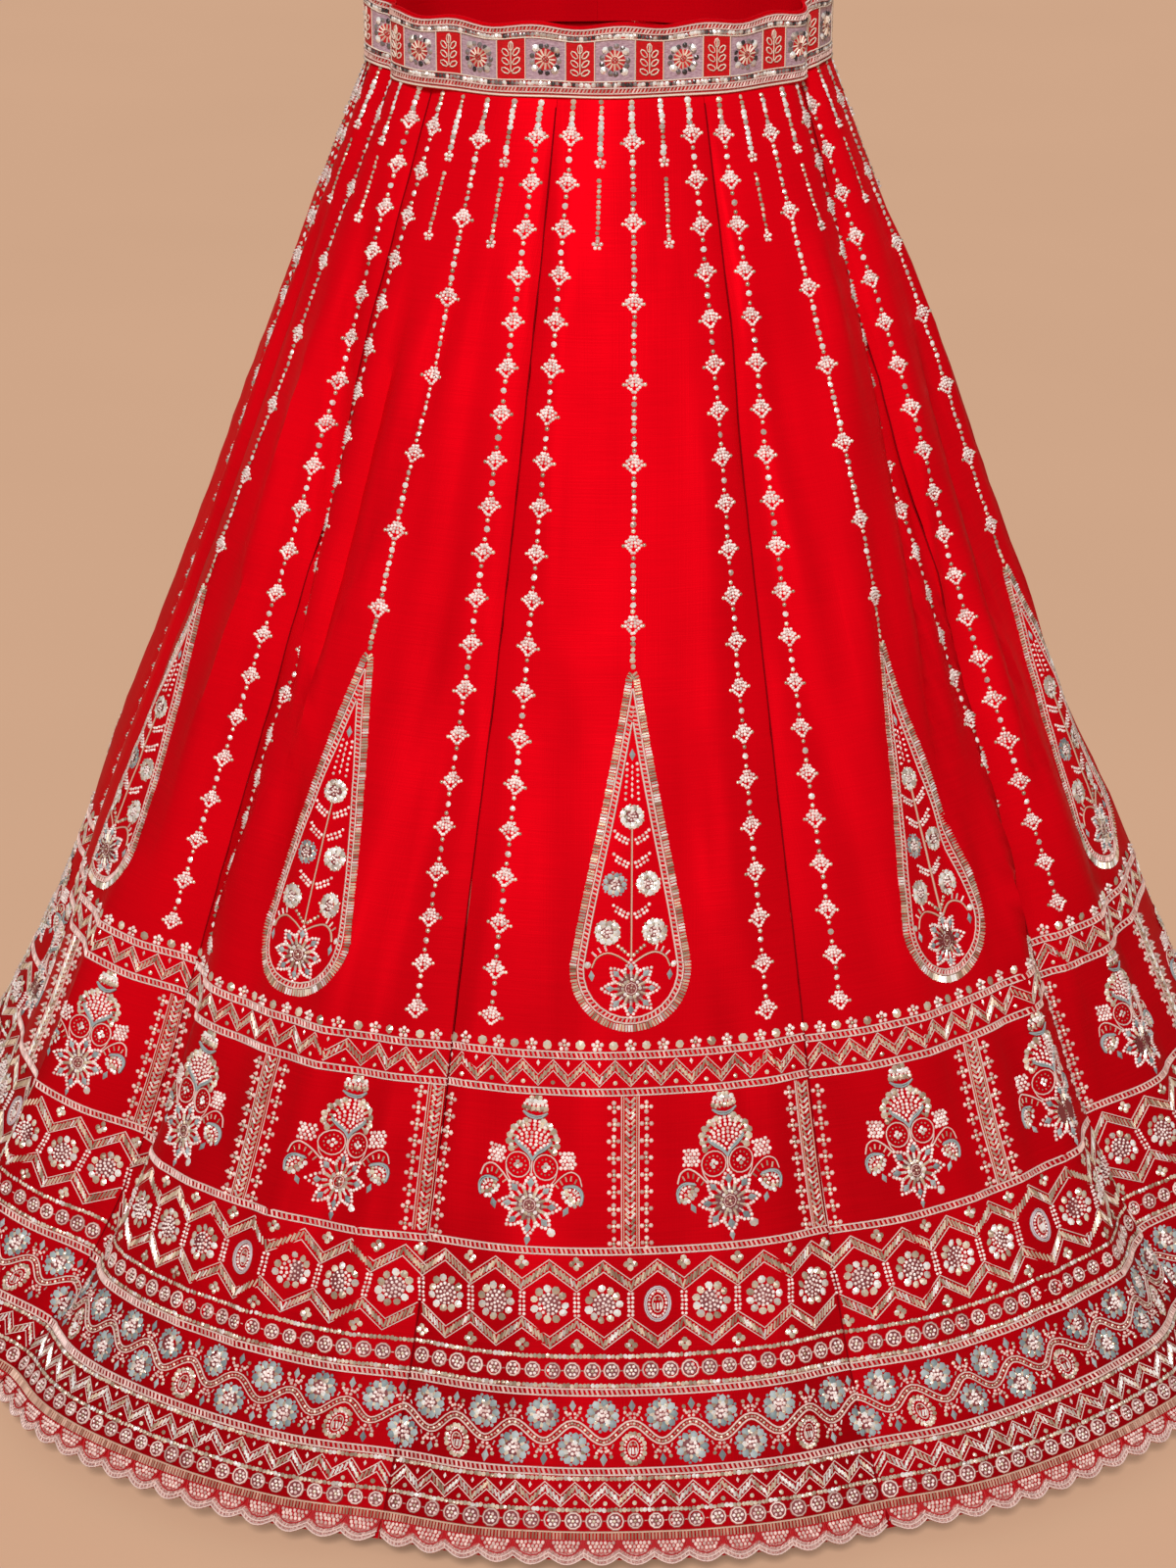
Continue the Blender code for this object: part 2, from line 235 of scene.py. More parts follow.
def crease_height(angle, share):
    side, front = half_widths(share)
    radius = (side + front) / 2
    height = 0.0
    for at_deg, top, foot, lean_deg, width_mm, height_mm in CREASES:
        along = (share - top) / (foot - top)
        centre = math.radians(at_deg) + math.radians(lean_deg) * (along - 0.5) + turn_at(share)
        away = angle_between(angle, centre) * radius / (width_mm * MM)
        ends = ease(along / 0.3) * ease((1.12 - along) / 0.3)
        height = height + CREASE_BOOST * height_mm * MM * ends * np.exp(-(away**2))
    pucker = np.sin(angle * 61 + 9 * np.sin(share * 11)) * np.sin(share * 74 + 5 * np.sin(angle * 17))
    return height + PUCKER * pucker * ease(share / 0.1)


def grid_normals(points):
    across = np.gradient(points, axis=1)
    down = np.gradient(points, axis=0)
    normal = np.cross(down, across)
    return normal / np.linalg.norm(normal, axis=-1, keepdims=True)


def creased_grid(angles, shares):
    step = 1e-3
    base = skirt_point(angles, shares)
    across = skirt_point(angles + step, shares) - skirt_point(angles - step, shares)
    down = skirt_point(angles, shares + step) - skirt_point(angles, shares - step)
    normal = np.cross(down, across)
    normal = normal / np.linalg.norm(normal, axis=-1, keepdims=True)
    return base + normal * crease_height(angles, shares)[..., None]


# %% [markdown]
# ## Measuring across a panel
# Embroidery is drawn on flat cloth, so its places have to be lengths on the cloth, not angles. Each panel becomes a
# grid whose columns are evenly spread along the cloth itself, folds included. A place is then a length across from
# the panel's middle and a length down from the waist, and the same drawing fits every panel.

# %% One grid for each panel
COLUMNS, ROWS = 27, 64
SEAM_DIP = 2.4 * MM
OVER_LACE = 2.2 * MM  # how far beads stand off the silk where the lace lies under them
even_share = np.linspace(-1, 1, COLUMNS)
column_share = even_share + 0.12 * np.sin(math.pi * even_share)  # closer together by the seams
row_length = np.linspace(GAP, HEM_LENGTH, ROWS)


def panel_grid(index):
    shares = share_at(row_length)[:, None]
    fine = np.linspace(-1, 1, 181)[None, :]
    middle = index * PANEL_ANGLE + turn_at(shares)
    angles = middle + fine * PANEL_ANGLE / 2
    line = skirt_point(angles, np.broadcast_to(shares, angles.shape))
    length = np.cumsum(np.linalg.norm(np.diff(line, axis=1), axis=2), axis=1)
    length = np.concatenate([np.zeros((ROWS, 1)), length], axis=1)
    total = length[:, -1]
    found = np.empty((ROWS, COLUMNS))
    for row in range(ROWS):
        keep = 1 - GAP / total[row]
        want = (column_share * keep + 1) / 2 * total[row]
        found[row] = np.interp(want, length[row], angles[row])
    points = creased_grid(found, np.broadcast_to(shares, found.shape))
    stitched_down = SEAM_DIP * ease(row_length / 0.1)[:, None]
    normals = grid_normals(points)
    for column, depth in ((0, 1.0), (1, 0.45), (-2, 0.45), (-1, 1.0)):
        points[:, column] -= depth * stitched_down * normals[:, column]
    return points, total / 2


grids, panel_half_widths = zip(*(panel_grid(index) for index in range(PANELS)))
grids = np.stack(grids)
grid_normal = np.stack([grid_normals(grid) for grid in grids])
nominal_half = panel_half_widths[0]


def half_at(s):
    """Half the panel's width at a length s down the cloth."""
    return np.interp(s, row_length, nominal_half)


print("a panel is %.0f mm wide at the waist and %.0f mm at the hem" % (2e3 * half_at(0), 2e3 * half_at(HEM_LENGTH)))


# %% Where a drawn place lies on the skirt
def lay_on_panel(panel, x, s):
    """Point, direction across, direction down and normal of the cloth, for lengths across and down a panel."""
    q = x / half_at(s)
    over = np.floor((q + 1) / 2)
    which = (panel + over.astype(int)) % PANELS
    q = q - 2 * over
    column = np.interp(q, column_share, np.arange(COLUMNS))
    row = np.clip(s - GAP, 0, None) / (HEM_LENGTH - GAP) * (ROWS - 1)
    c0 = np.clip(column.astype(int), 0, COLUMNS - 2)
    r0 = np.clip(row.astype(int), 0, ROWS - 2)
    u, v = (column - c0)[:, None], (row - r0)[:, None]

    def blend(grid):
        return ((1 - u) * (1 - v) * grid[which, r0, c0] + u * (1 - v) * grid[which, r0, c0 + 1]
                + (1 - u) * v * grid[which, r0 + 1, c0] + u * v * grid[which, r0 + 1, c0 + 1])

    point, normal = blend(grids), blend(grid_normal)
    normal /= np.linalg.norm(normal, axis=1, keepdims=True)
    across = (grids[which, r0, c0 + 1] - grids[which, r0, c0]) * (1 - v)
    across = across + (grids[which, r0 + 1, c0 + 1] - grids[which, r0 + 1, c0]) * v
    across = across - normal * np.sum(across * normal, axis=1, keepdims=True)
    across /= np.linalg.norm(across, axis=1, keepdims=True)
    down = np.cross(across, normal)
    raised = np.where(s > LACE_TOP - 1 * MM, OVER_LACE, 0.0)[:, None]
    return point + normal * raised, across, down, normal


# %% [markdown]
# ## Finishes
# Every finish is a Principled shader with procedural detail. Silk dupion has slubs, thick places in the thread that
# run across the cloth, so its noise is stretched along the weft. Its lengths come from the UV map, which holds metres
# on the cloth. Beads and sequins read the attribute "tone", a different number on each bead, so that no two glint
# quite alike.

# %% Node helpers
def new_finish(name):
    finish = bpy.data.materials.new(name)
    finish.use_nodes = True
    return finish, finish.node_tree, finish.node_tree.nodes["Principled BSDF"]


def node(tree, kind, **settings):
    made = tree.nodes.new(kind)
    for key, value in settings.items():
        if key in made.inputs:
            made.inputs[key].default_value = value
        else:
            setattr(made, key, value)
    return made


def ramp(tree, fac, low, high, start=0.3, end=0.7):
    made = tree.nodes.new("ShaderNodeValToRGB")
    made.color_ramp.elements[0].position, made.color_ramp.elements[0].color = start, (*low, 1)
    made.color_ramp.elements[1].position, made.color_ramp.elements[1].color = end, (*high, 1)
    tree.links.new(fac, made.inputs["Fac"])
    return made.outputs["Color"]


def stretched_noise(tree, source, stretch, scale, detail=2.0):
    mapping = node(tree, "ShaderNodeMapping")
    mapping.inputs["Scale"].default_value = stretch
    tree.links.new(source, mapping.inputs["Vector"])
    noise = node(tree, "ShaderNodeTexNoise", Scale=scale, Detail=detail, Roughness=0.55)
    tree.links.new(mapping.outputs["Vector"], noise.inputs["Vector"])
    return noise.outputs["Fac"]


def math_node(tree, operation, *values):
    """The result of a Math node, whose values are numbers or other nodes' outputs."""
    made = node(tree, "ShaderNodeMath", operation=operation)
    for slot, value in zip(made.inputs, values):
        if isinstance(value, (int, float)):
            slot.default_value = value
        else:
            tree.links.new(value, slot)
    return made.outputs["Value"]


def blended(tree, share, first, second):
    """A blend of two colours. The first may be a plain colour instead of an output."""
    made = node(tree, "ShaderNodeMix", data_type="RGBA")
    tree.links.new(share, made.inputs["Factor"])
    slots = [slot for slot in made.inputs if slot.type == "RGBA"]
    if isinstance(first, tuple):
        slots[0].default_value = (*first, 1)
    else:
        tree.links.new(first, slots[0])
    tree.links.new(second, slots[1])
    return next(slot for slot in made.outputs if slot.type == "RGBA")


def on_the_cloth(tree):
    """The UV map's output, and its lengths across and down the cloth."""
    cloth = node(tree, "ShaderNodeUVMap", uv_map="cloth").outputs["UV"]
    split = node(tree, "ShaderNodeSeparateXYZ")
    tree.links.new(cloth, split.inputs["Vector"])
    return cloth, split.outputs["X"], split.outputs["Y"]


def set_inputs(shader, values):
    for name, value in values.items():
        shader.inputs[name].default_value = value


def bumped(tree, shader, heights, distance):
    total = heights[0]
    for height in heights[1:]:
        total = math_node(tree, "ADD", total, height)
    bump = node(tree, "ShaderNodeBump", Distance=distance, Strength=0.6)
    tree.links.new(total, bump.inputs["Height"])
    tree.links.new(bump.outputs["Normal"], shader.inputs["Normal"])


# %% Red silk
def silk_finish(name, low, high):
    """Silk with painted shade darkening it towards the hem. A touch of metal keeps its sheen red instead of white."""
    finish, tree, shader = new_finish(name)
    cloth, _, down = on_the_cloth(tree)
    slub = stretched_noise(tree, cloth, (23, 760, 1), 1.0, 4.0)
    warp = stretched_noise(tree, cloth, (900, 9, 1), 1.0, 1.0)
    wash = stretched_noise(tree, cloth, (9, 5, 1), 1.0, 2.0)
    tone = math_node(tree, "MULTIPLY_ADD", slub, 0.14, 0.36)
    tone = math_node(tree, "MULTIPLY_ADD", wash, 0.35, tone)
    # painted shade: darker with the length down the cloth, for the shadow among the beads near the hem
    tone = math_node(tree, "MULTIPLY_ADD", math_node(tree, "POWER", down, 2.4), -0.41, tone)
    tree.links.new(ramp(tree, tone, low, high, 0.20, 0.65), shader.inputs["Base Color"])
    bumped(tree, shader, (slub, warp), 0.16 * MM)
    set_inputs(shader, {"Roughness": 0.46, "Metallic": 0.14, "Specular IOR Level": 0.03,
                        "Specular Tint": (1.0, 0.02, 0.03, 1)})
    return finish


# the low colour is partly the silk's darker slubs and partly the painted shade near the hem
silk = silk_finish("red_silk", (0.30, 0.0012, 0.0035), (0.80, 0.0008, 0.0075))
print("silk made")


# %% Beads, sequins and cords
def bead_finish(name, low, high, roughness, metallic, start=0.0, end=1.0, coat=0.0, specular=0.5):
    finish, tree, shader = new_finish(name)
    tone = node(tree, "ShaderNodeAttribute", attribute_name="tone").outputs["Fac"]
    tree.links.new(ramp(tree, tone, low, high, start, end), shader.inputs["Base Color"])
    set_inputs(shader, {"Roughness": roughness, "Metallic": metallic, "Coat Weight": coat,
                        "Specular IOR Level": specular})
    return finish


FINISHES = {
    # the pink of the pearls and cords is partly their own colour and partly painted reflection of the red silk
    "pearl": bead_finish("pearl_bead", (0.68, 0.46, 0.42), (1.0, 0.88, 0.83), 0.28, 0.0, 0.0, 0.8, 0.4),
    "gold": bead_finish("antique_gold", (0.36, 0.25, 0.17), (0.98, 0.87, 0.69), 0.28, 0.4),
    "silver": bead_finish("mirror_sequin", (0.55, 0.46, 0.40), (1.0, 0.99, 0.95), 0.24, 0.30, 0.1, 0.6, 0.4),
    "smoke": bead_finish("smoked_sequin", (0.06, 0.05, 0.05), (0.50, 0.44, 0.43), 0.25, 0.5, 0.2, 1.0),
    "blue": bead_finish("blue_grey_thread", (0.16, 0.21, 0.22), (0.42, 0.48, 0.48), 0.50, 0.0),
    "grey": bead_finish("lilac_grey_thread", (0.42, 0.33, 0.36), (0.68, 0.58, 0.60), 0.50, 0.1),
    "copper": bead_finish("copper_bead", (0.26, 0.10, 0.07), (0.56, 0.32, 0.26), 0.35, 0.3),
    "cord": bead_finish("pinkish_cord", (0.52, 0.30, 0.26), (0.94, 0.70, 0.63), 0.45, 0.0),
    "brown": bead_finish("old_gold_cord", (0.40, 0.20, 0.13), (0.84, 0.56, 0.42), 0.45, 0.1),
    "pale_cord": bead_finish("pale_gold_cord", (0.72, 0.52, 0.40), (0.98, 0.84, 0.70), 0.45, 0.1),
    "shade": bead_finish("shaded_ground", (0.16, 0.012, 0.016), (0.22, 0.03, 0.03), 0.60, 0.0),
    "red_thread": bead_finish("red_thread", (0.42, 0.002, 0.006), (0.62, 0.004, 0.010), 0.55, 0.0),
    # painted shadow: a dark red cord down each seam stands in for the shadow in the seam's groove
    "seam": bead_finish("seam_shadow_cord", (0.20, 0.001, 0.003), (0.26, 0.001, 0.004), 0.8, 0.0, specular=0.04),
}
print(len(FINISHES), "embroidery finishes")

# %% [markdown]
# ## The shapes that are sewn on
# There are tens of thousands of beads, so each shape has the fewest faces that still catch the light: a bead is a
# smooth dome, a sequin a low faceted one, a leaf a ridged diamond, and a bugle a three-sided rod. All are closed,
# one metre long, and sized when they are sewn on.


# %% Small shapes
def linked(name, data):
    made = bpy.data.objects.new(name, data)
    bpy.context.scene.collection.objects.link(made)
    return made


def shape_object(name, points, faces, smooth):
    mesh = bpy.data.meshes.new(name)
    mesh.from_pydata([tuple(map(float, p)) for p in points], [], faces)
    if smooth:
        mesh.shade_smooth()
    return linked(name, mesh)


def dome(name, sides, top, smooth):
    """A closed dome of a rim, a point above it and a flat base."""
    turn = 2 * math.pi * np.arange(sides) / sides
    points = [(0.5 * math.cos(a), 0.5 * math.sin(a), 0) for a in turn] + [(0, 0, top)]
    faces = [(k, (k + 1) % sides, sides) for k in range(sides)] + [tuple(reversed(range(sides)))]
    made = shape_object(name, points, faces, smooth)
    if smooth:
        made.data.set_sharp_from_angle(angle=math.radians(100))
    return made


def rod(name):
    """A three-sided rod with its ridge on top."""
    section = ((0.5, -0.1), (0.0, 0.6), (-0.5, -0.1))
    points = [(x, y, z) for x in (-0.5, 0.5) for y, z in section]
    faces = [(0, 3, 4, 1), (1, 4, 5, 2), (2, 5, 3, 0), (0, 1, 2), (5, 4, 3)]
    return shape_object(name, points, faces, False)


def torus(name, around, sides, tube):
    points, faces = [], []
    for i in range(around):
        a = 2 * math.pi * i / around
        for j in range(sides):
            b = 2 * math.pi * j / sides
            r = 0.5 - tube + tube * math.cos(b)
            points.append((r * math.cos(a), r * math.sin(a), tube * math.sin(b)))
            i2, j2 = (i + 1) % around, (j + 1) % sides
            faces.append((i * sides + j, i2 * sides + j, i2 * sides + j2, i * sides + j2))
    return shape_object(name, points, faces, True)


SHAPES = {
    "bead": dome("shape_bead", 6, 0.75, True),
    "seed": dome("shape_seed", 5, 0.75, True),
    "sequin": dome("shape_sequin", 7, 0.2, False),
    "leaf": dome("shape_leaf", 4, 0.4, False),
    "rod": rod("shape_rod"),
    "ring": torus("shape_ring", 10, 3, 0.07),
}
print(len(SHAPES), "shapes")

# %% [markdown]
# ## Kinds of bead
# A kind joins a shape, a finish and its real size: length, width and height in millimetres. It also says how
# crookedly a hand sews it, in radians, and how far from its mark, in millimetres.

# %% The kinds
KIND_COLUMNS = ("shape", "finish", "long", "wide", "high", "wobble", "stray")
KINDS = {
    "pearl": ("bead", "pearl", 2.75, 2.75, 3.1, 0.0, 0.14),
    "rose_pearl": ("bead", "cord", 2.75, 2.75, 3.1, 0.0, 0.14),
    "seed": ("seed", "gold", 2.5, 2.5, 2.2, 0.0, 0.16),
    "copper": ("seed", "copper", 2.4, 2.4, 2.0, 0.0, 0.12),
    "blue_seed": ("seed", "blue", 2.1, 2.1, 1.6, 0.0, 0.12),
    "petal": ("bead", "blue", 6.0, 7.0, 2.0, 0.08, 0.15),
    "silver_petal": ("sequin", "silver", 6.4, 6.4, 5.5, 0.16, 0.15),
    "sequin": ("sequin", "silver", 4.2, 4.2, 6.0, 0.28, 0.22),
    "gilt": ("sequin", "gold", 4.2, 4.2, 6.0, 0.28, 0.18),
    "smoke": ("sequin", "smoke", 4.2, 4.2, 5.0, 0.25, 0.12),
    "coin": ("sequin", "gold", 7.0, 7.0, 8.0, 0.14, 0.25),
    # ground is a flat dark disc of painted shade, laid under crowded beads for the shadow between them
    "ground": ("sequin", "shade", 10.0, 10.0, 0.6, 0.0, 0.0),
    "red_ground": ("sequin", "red_thread", 10.0, 10.0, 0.6, 0.0, 0.0),
    "bugle": ("rod", "gold", 5.0, 1.65, 1.6, 0.06, 0.08),
    "silver_bugle": ("rod", "silver", 5.0, 1.65, 1.6, 0.06, 0.08),
    "bar": ("rod", "brown", 5.8, 1.45, 1.9, 0.03, 0.05),
    "ray": ("rod", "pale_cord", 4.8, 1.5, 1.7, 0.03, 0.05),
    "leaf": ("leaf", "blue", 7.0, 3.8, 3.6, 0.05, 0.10),
    "pearl_leaf": ("leaf", "pearl", 5.0, 2.8, 3.0, 0.05, 0.10),
    "stitch": ("rod", "cord", 3.8, 1.4, 1.4, 0.08, 0.08),
    "ring": ("ring", "cord", 12.4, 12.4, 15.0, 0.0, 0.20),
}
LIFT = {"bead": 0.15, "seed": 0.15, "sequin": 0.25, "leaf": 0.2, "rod": 0.4, "ring": 0.5}  # millimetres above the cloth
CORD_COLUMNS = ("finish", "thickness_mm")
CORDS = {
    "cord": ("cord", 1.5),
    "thin": ("cord", 1.2),
    "rose": ("brown", 1.0),
    "stem": ("brown", 1.8),
    "brown": ("brown", 1.6),
    "pale": ("pale_cord", 1.3),
    "piping": ("pale_cord", 2.2),
    "blue": ("blue", 1.9),
    "grey": ("grey", 1.9),
    "red": ("red_thread", 1.1),
    # the seam cord is painted shadow
    "seam": ("seam", 1.3),
}


def as_rows(values):
    """Numbers and lists of numbers, all stretched to the same length."""
    return np.broadcast_arrays(*(np.atleast_1d(np.asarray(value, float)) for value in values))


class Drawing:
    """What is sewn on flat cloth: beads by kind, as rows of (x, s, turn, long, wide), and cords as lists of points."""

    def __init__(self):
        self.beads, self.cords = {}, {}

    def bead(self, kind, x, s, turn=0.0, long=1.0, wide=None):
        wide = long if wide is None else wide
        self.beads.setdefault(kind, []).append(np.stack(as_rows((x, s, turn, long, wide)), 1))

    def cord(self, kind, points):
        self.cords.setdefault(kind, []).append(np.asarray(points, float))

    def place(self, motif, x, s, turn=0.0, grow=1.0):
        """Copies of a motif at the places (x, s), each turned and made larger or smaller."""
        x, s, turn, grow = (value[:, None] for value in as_rows((x, s, turn, grow)))
        cos, sin = np.cos(turn), np.sin(turn)

        def moved(own_x, own_s):
            return x + grow * (own_x * cos - own_s * sin), s + grow * (own_x * sin + own_s * cos)

        for kind, tables in motif.beads.items():
            own = np.concatenate(tables)
            rows = np.stack([*moved(own[:, 0], own[:, 1]), own[:, 2] + turn, own[:, 3] * grow, own[:, 4] * grow], -1)
            self.beads.setdefault(kind, []).append(rows.reshape(-1, 5))
        for kind, lines in motif.cords.items():
            for line in lines:
                for copy in np.stack(moved(line[:, 0], line[:, 1]), -1):
                    self.cord(kind, copy)

    def count(self):
        return sum(len(rows) for tables in self.beads.values() for rows in tables)


print(len(KINDS), "kinds of bead,", len(CORDS), "kinds of cord")

# %% [markdown]
# ## Sewing by Geometry Nodes
# One tree sews every bead. Each bead is a point that carries its size and its turn as attributes. The tree puts the
# shape on each point, turns it a little at random from a fixed seed, notes a random tone for its finish, and makes
# the copies real, since copies that aren't real would be lost when the piece is exported.


# %% The tree that sews beads
def socket(tree, name, kind, way="INPUT"):
    return tree.interface.new_socket(name, in_out=way, socket_type="NodeSocket" + kind)


def bead_tree():
    tree = bpy.data.node_groups.new("sew_beads", "GeometryNodeTree")
    sockets = {name: socket(tree, name, kind) for name, kind in (
        ("Points", "Geometry"), ("Shape", "Object"), ("Finish", "Material"), ("Wobble", "Float"), ("Seed", "Int"))}
    socket(tree, "Beads", "Geometry", "OUTPUT")
    new, link = tree.nodes.new, tree.links.new
    given, result = new("NodeGroupInput"), new("NodeGroupOutput")
    shape = new("GeometryNodeObjectInfo")
    link(given.outputs["Shape"], shape.inputs["Object"])
    turn = new("GeometryNodeInputNamedAttribute")
    turn.data_type = "QUATERNION"
    turn.inputs["Name"].default_value = "turn"
    size = new("GeometryNodeInputNamedAttribute")
    size.data_type = "FLOAT_VECTOR"
    size.inputs["Name"].default_value = "size"
    copies = new("GeometryNodeInstanceOnPoints")
    link(given.outputs["Points"], copies.inputs["Points"])
    link(shape.outputs["Geometry"], copies.inputs["Instance"])
    link(turn.outputs["Attribute"], copies.inputs["Rotation"])
    link(size.outputs["Attribute"], copies.inputs["Scale"])
    crooked = new("FunctionNodeRandomValue")
    crooked.data_type = "FLOAT_VECTOR"
    less = new("ShaderNodeMath")
    less.operation = "MULTIPLY"
    less.inputs[1].default_value = -1.0
    link(given.outputs["Wobble"], less.inputs[0])
    link(less.outputs["Value"], crooked.inputs["Min"])
    link(given.outputs["Wobble"], crooked.inputs["Max"])
    link(given.outputs["Seed"], crooked.inputs["Seed"])
    turned = new("GeometryNodeRotateInstances")
    link(copies.outputs["Instances"], turned.inputs["Instances"])
    link(crooked.outputs["Value"], turned.inputs["Rotation"])
    tone = new("FunctionNodeRandomValue")
    link(given.outputs["Seed"], tone.inputs["Seed"])
    noted = new("GeometryNodeStoreNamedAttribute")
    noted.domain = "INSTANCE"
    noted.inputs["Name"].default_value = "tone"
    link(turned.outputs["Instances"], noted.inputs["Geometry"])
    link(tone.outputs[1], noted.inputs["Value"])
    real = new("GeometryNodeRealizeInstances")
    painted = new("GeometryNodeSetMaterial")
    link(noted.outputs["Geometry"], real.inputs["Geometry"])
    link(real.outputs["Geometry"], painted.inputs["Geometry"])
    link(given.outputs["Finish"], painted.inputs["Material"])
    link(painted.outputs["Geometry"], result.inputs["Beads"])
    return tree, sockets


# %% The tree that couches cords
def cord_tree():
    tree = bpy.data.node_groups.new("couch_cords", "GeometryNodeTree")
    sockets = {name: socket(tree, name, kind) for name, kind in (
        ("Lines", "Geometry"), ("Thickness", "Float"), ("Sides", "Int"), ("Finish", "Material"))}
    socket(tree, "Cords", "Geometry", "OUTPUT")
    new, link = tree.nodes.new, tree.links.new
    given, result = new("NodeGroupInput"), new("NodeGroupOutput")
    curves, circle = new("GeometryNodeMeshToCurve"), new("GeometryNodeCurvePrimitiveCircle")
    half = new("ShaderNodeMath")
    half.operation = "MULTIPLY"
    half.inputs[1].default_value = 0.5
    link(given.outputs["Lines"], curves.inputs["Mesh"])
    link(given.outputs["Thickness"], half.inputs[0])
    link(half.outputs["Value"], circle.inputs["Radius"])
    link(given.outputs["Sides"], circle.inputs["Resolution"])
    tube = new("GeometryNodeCurveToMesh")
    tube.inputs["Fill Caps"].default_value = True
    link(curves.outputs["Curve"], tube.inputs["Curve"])
    link(circle.outputs["Curve"], tube.inputs["Profile Curve"])
    tone = new("GeometryNodeStoreNamedAttribute")
    tone.domain = "POINT"
    tone.inputs["Name"].default_value = "tone"
    tone.inputs["Value"].default_value = 0.7
    real = new("GeometryNodeRealizeInstances")
    painted = new("GeometryNodeSetMaterial")
    link(tube.outputs["Mesh"], tone.inputs["Geometry"])
    link(tone.outputs["Geometry"], real.inputs["Geometry"])
    link(real.outputs["Geometry"], painted.inputs["Geometry"])
    link(given.outputs["Finish"], painted.inputs["Material"])
    link(painted.outputs["Geometry"], result.inputs["Cords"])
    return tree, sockets


BEAD_TREE, CORD_TREE = bead_tree(), cord_tree()
print("trees made")


# %% Turning a drawing into a piece
def grown(source, tree_and_sockets, values):
    """The plain mesh that a tree makes of an object."""
    tree, sockets = tree_and_sockets
    modifier = source.modifiers.new("sewing", "NODES")
    modifier.node_group = tree
    for name, value in values.items():
        modifier[sockets[name].identifier] = value
    deps = bpy.context.evaluated_depsgraph_get()
    mesh = bpy.data.meshes.new_from_object(source.evaluated_get(deps))
    old = source.data
    bpy.data.objects.remove(source)
    bpy.data.meshes.remove(old)
    return mesh


def quaternions(across, down, normal, turn):
    """Quaternions that point a shape's length along `turn` in the cloth, and its top out of it."""
    x = across * np.cos(turn)[:, None] + down * np.sin(turn)[:, None]
    z = normal
    y = np.cross(z, x)
    m = np.stack([x, y, z], axis=2)
    w = np.sqrt(np.maximum(0, 1 + m[:, 0, 0] + m[:, 1, 1] + m[:, 2, 2])) / 2
    a = np.sqrt(np.maximum(0, 1 + m[:, 0, 0] - m[:, 1, 1] - m[:, 2, 2])) / 2
    b = np.sqrt(np.maximum(0, 1 - m[:, 0, 0] + m[:, 1, 1] - m[:, 2, 2])) / 2
    c = np.sqrt(np.maximum(0, 1 - m[:, 0, 0] - m[:, 1, 1] + m[:, 2, 2])) / 2
    a = np.copysign(a, m[:, 2, 1] - m[:, 1, 2])
    b = np.copysign(b, m[:, 0, 2] - m[:, 2, 0])
    c = np.copysign(c, m[:, 1, 0] - m[:, 0, 1])
    return np.stack([w, a, b, c], axis=1)


def join_meshes(name, meshes):
    parts = [linked(name, mesh) for mesh in meshes]
    if len(parts) > 1:
        with bpy.context.temp_override(active_object=parts[0], selected_editable_objects=parts):
            bpy.ops.object.join()
    parts[0].name = name
    return parts[0]


def sewn(name, drawing, lay, seed):
    """A piece with everything in a drawing, laid on the cloth by `lay`."""
    meshes = []
    for kind, tables in drawing.beads.items():
        shape, finish, long_mm, wide_mm, high_mm, wobble, stray = KINDS[kind]
        x, s, turn, long, wide = np.concatenate(tables).T
        by_hand = np.random.default_rng([seed, len(meshes)]).normal(0, 1, (3, len(x)))
        point, across, down, normal = lay(x + stray * MM * by_hand[0], s + stray * MM * by_hand[1])
        size = np.stack([long_mm * MM * long, wide_mm * MM * wide, high_mm * MM * wide], axis=1)
        size *= 1 + 0.05 * np.clip(by_hand[2], -2, 2)[:, None]
        mesh = bpy.data.meshes.new("points")
        mesh.from_pydata((point + normal * LIFT[shape] * MM).tolist(), [], [])
        mesh.attributes.new("size", "FLOAT_VECTOR", "POINT").data.foreach_set("vector", size.ravel())
        turned = quaternions(across, down, normal, turn)
        mesh.attributes.new("turn", "QUATERNION", "POINT").data.foreach_set("value", turned.ravel())
        meshes.append(grown(linked("points", mesh), BEAD_TREE, {
            "Shape": SHAPES[shape], "Finish": FINISHES[finish], "Wobble": wobble, "Seed": seed}))
    for kind, lines in drawing.cords.items():
        finish, thick_mm = CORDS[kind]
        points, edges, start = [], [], 0
        for line in lines:
            point, _, _, normal = lay(line[:, 0], line[:, 1])
            points.append(point + normal * thick_mm * MM * 0.35)
            edges += [(start + k, start + k + 1) for k in range(len(line) - 1)]
            start += len(line)
        mesh = bpy.data.meshes.new("lines")
        mesh.from_pydata(np.concatenate(points).tolist(), edges, [])
        meshes.append(grown(linked("lines", mesh), CORD_TREE, {
            "Thickness": thick_mm * MM, "Sides": 3, "Finish": FINISHES[finish]}))
    return join_meshes(name, meshes)


# %% [markdown]
# ## Small motifs
# The embroidery repeats a few small motifs, each drawn once about its own middle. Lengths are in millimetres here,
# because that is how a pattern drafter would give them, with x across the cloth and s down it.


# %% Ways to place beads
def around(count, radius_mm, start_deg=0.0):
    turn = math.radians(start_deg) + 2 * math.pi * np.arange(count) / count
    return radius_mm * MM * np.cos(turn), radius_mm * MM * np.sin(turn), turn


def ring_of(made, kind, count, radius_mm, long=1.0, start_deg=0.0, wide=None):
    x, s, turn = around(count, radius_mm, start_deg)
    made.bead(kind, x, s, turn, long, wide)


def fan_of(made, kind, foot_mm, arcs, long=1.0):
    """Arcs of beads above a foot point. Each arc has a radius, a count and half its spread in degrees."""
    for radius, count, spread in arcs:
        turn = np.radians(np.linspace(-spread, spread, count))
        made.bead(kind, radius * MM * np.sin(turn), (foot_mm - radius * np.cos(turn)) * MM, turn - math.pi / 2, long)


